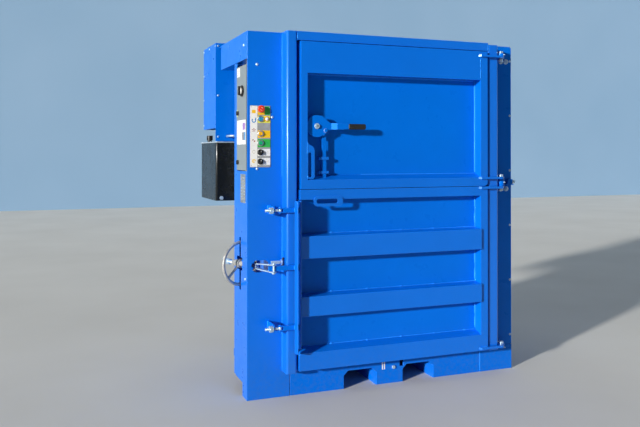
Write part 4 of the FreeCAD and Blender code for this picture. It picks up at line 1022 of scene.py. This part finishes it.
# ------------------------------------------------- plates on the cabinet side
b = bmesh.new()
side(b, 83.5, 1142.5, 105, 159, 0.9, 3.0, 0, x=0.0)
for y in (37, 130):
    for z in (1069, 1216):
        lathe(b, [(0, 0), (2.8, 0), (2.6, 0.8), (0, 1.3)], R(-0.9, y, z), -X, 20)
piece("rating_plate", b, "alu", "frame", smooth=40)
b = bmesh.new()
for k in range(8):
    side(b, 83.5, 1202 - k * 16.5, 88, 9.5, 0.15, 1.0, 0, x=-0.9)
piece("rating_plate_fields", b, "film", "frame", smooth=0)

# light double bar on the base, stops in the joint above it
b = bmesh.new()
for x in (809.5, 822):
    slab(b, rrect(x, 105, 7, 42, 1.0), Vector((OX / 1000, OY / 1000, 0)), X, Z, -Y, 0.8)
piece("base_bars", b, "white", "frame", smooth=0, mods=[bev(0.3)])
b = bmesh.new()
for x, w in ((423, 26), (447, 10), (691, 26), (1028, 24), (1284, 22)):
    slab(b, rrect(x, 154, w, 7.4, 1.5), Vector((OX / 1000, (OY - 2) / 1000, 0)), X, Z, Y, 12)
piece("base_stops", b, "rubber", "frame", smooth=0, mods=[bev(0.8)])

# ------------------------------------------------------------- floor and light
bm = bmesh.new()
s_ = 40.0
vs = [bm.verts.new((x, y, 0)) for x, y in ((-s_, -s_), (s_, -s_), (s_, s_), (-s_, s_))]
bm.faces.new(vs)
me = bpy.data.meshes.new("floor")
bm.to_mesh(me)
bm.free()
floor = bpy.data.objects.new("floor", me)
scene.collection.objects.link(floor)
m, nt, bs = new_mat("pale_floor")
v = coords(nt)
fc = ramp(nt, noise(nt, v, 0.8, 3.0, 0.5), [(0.3, (0.61, 0.595, 0.55)), (0.7, (0.66, 0.645, 0.60))])
nt.links.new(fc, bs.inputs["Base Color"])
bs.inputs["Roughness"].default_value = 0.85
bump(nt, bs, [(noise(nt, v, 60.0, 4.0, 0.6), 0.15, 0.001)])
me.materials.append(m)

bm = bmesh.new()
vs = [bm.verts.new(c) for c in ((-30, 14, 0), (38, 14, 0), (38, 14, 16), (-30, 14, 16))]
bm.faces.new(vs)
side = [bm.verts.new(c) for c in ((38, 14, 0), (38, -38, 0), (38, -38, 16), (38, 14, 16))]
bm.faces.new(side)
me = bpy.data.meshes.new("backdrop")
bm.to_mesh(me)
bm.free()
back = bpy.data.objects.new("backdrop", me)
scene.collection.objects.link(back)
m, nt, bs = new_mat("pale_backdrop")
v = coords(nt)
fc = ramp(nt, noise(nt, v, 0.3, 2.0, 0.5), [(0.3, (0.23, 0.37, 0.53)), (0.7, (0.26, 0.40, 0.56))])
nt.links.new(fc, bs.inputs["Base Color"])
bs.inputs["Roughness"].default_value = 0.9
me.materials.append(m)

world = bpy.data.worlds.new("studio")
scene.world = world
world.use_nodes = True
wn = world.node_tree
bg = wn.nodes["Background"]
tc = wn.nodes.new("ShaderNodeTexCoord")
sx = wn.nodes.new("ShaderNodeSeparateXYZ")
wn.links.new(tc.outputs["Generated"], sx.inputs[0])
cr = wn.nodes.new("ShaderNodeValToRGB")
el = cr.color_ramp.elements
while len(el) < 4:
    el.new(0.5)
for e, (p_, c_) in zip(el, ((0.0, (0.62, 0.64, 0.66)), (0.5, (0.80, 0.84, 0.88)), (0.62, (0.60, 0.70, 0.86)), (1.0, (0.30, 0.46, 0.80)))):
    e.position = p_
    e.color = (*c_, 1)
mr = wn.nodes.new("ShaderNodeMapRange")
mr.inputs["From Min"].default_value = -1
mr.inputs["From Max"].default_value = 1
wn.links.new(sx.outputs["Z"], mr.inputs["Value"])
wn.links.new(mr.outputs[0], cr.inputs["Fac"])
wn.links.new(cr.outputs["Color"], bg.inputs["Color"])
bg.inputs["Strength"].default_value = 0.10


def aim(o, target):
    o.rotation_euler = (Vector(target) - o.location).to_track_quat("-Z", "Y").to_euler()


sun = bpy.data.lights.new("key", "SUN")
sun.energy = 5.55
sun.angle = math.radians(3.0)
sun.color = (1.0, 0.97, 0.92)
so = bpy.data.objects.new("key", sun)
so.rotation_euler = Vector((1.92, 1.0, -0.47)).to_track_quat("-Z", "Y").to_euler()
scene.collection.objects.link(so)

top = bpy.data.lights.new("overhead", "SUN")
top.energy = 0.5
top.angle = math.radians(50.0)
to = bpy.data.objects.new("overhead", top)
to.rotation_euler = (0, 0, 0)
scene.collection.objects.link(to)

ar = bpy.data.lights.new("fill", "AREA")
ar.shape = "RECTANGLE"
ar.energy = 42
ar.size = 0.4
ar.size_y = 4.5
ar.color = (0.92, 0.97, 1.0)
ao = bpy.data.objects.new("fill", ar)
ao.location = (-8.2, -2.6, 1.7)
ao.rotation_euler = (math.radians(90), 0, math.atan2(8.2, -2.6) + math.radians(180))
scene.collection.objects.link(ao)

cam = bpy.data.cameras.new("camera")
cam.sensor_width = 36.0
cam.lens = 724.0 / 640.0 * 36.0
cam.shift_x = 0.0
cam.shift_y = -(213.5 - 149.234) / 640.0
cam.clip_start = 0.05
cam.clip_end = 100
co = bpy.data.objects.new("camera", cam)
co.location = (-1.83897, -4.27530, 1.33469)
co.rotation_euler = Euler((math.radians(90 + 0.338), 0, math.radians(-21.079)), "XYZ")
scene.collection.objects.link(co)
scene.camera = co

scene.view_settings.view_transform = "Standard"
scene.view_settings.look = "None"
scene.view_settings.exposure = 0.0
scene.view_settings.gamma = 1.0
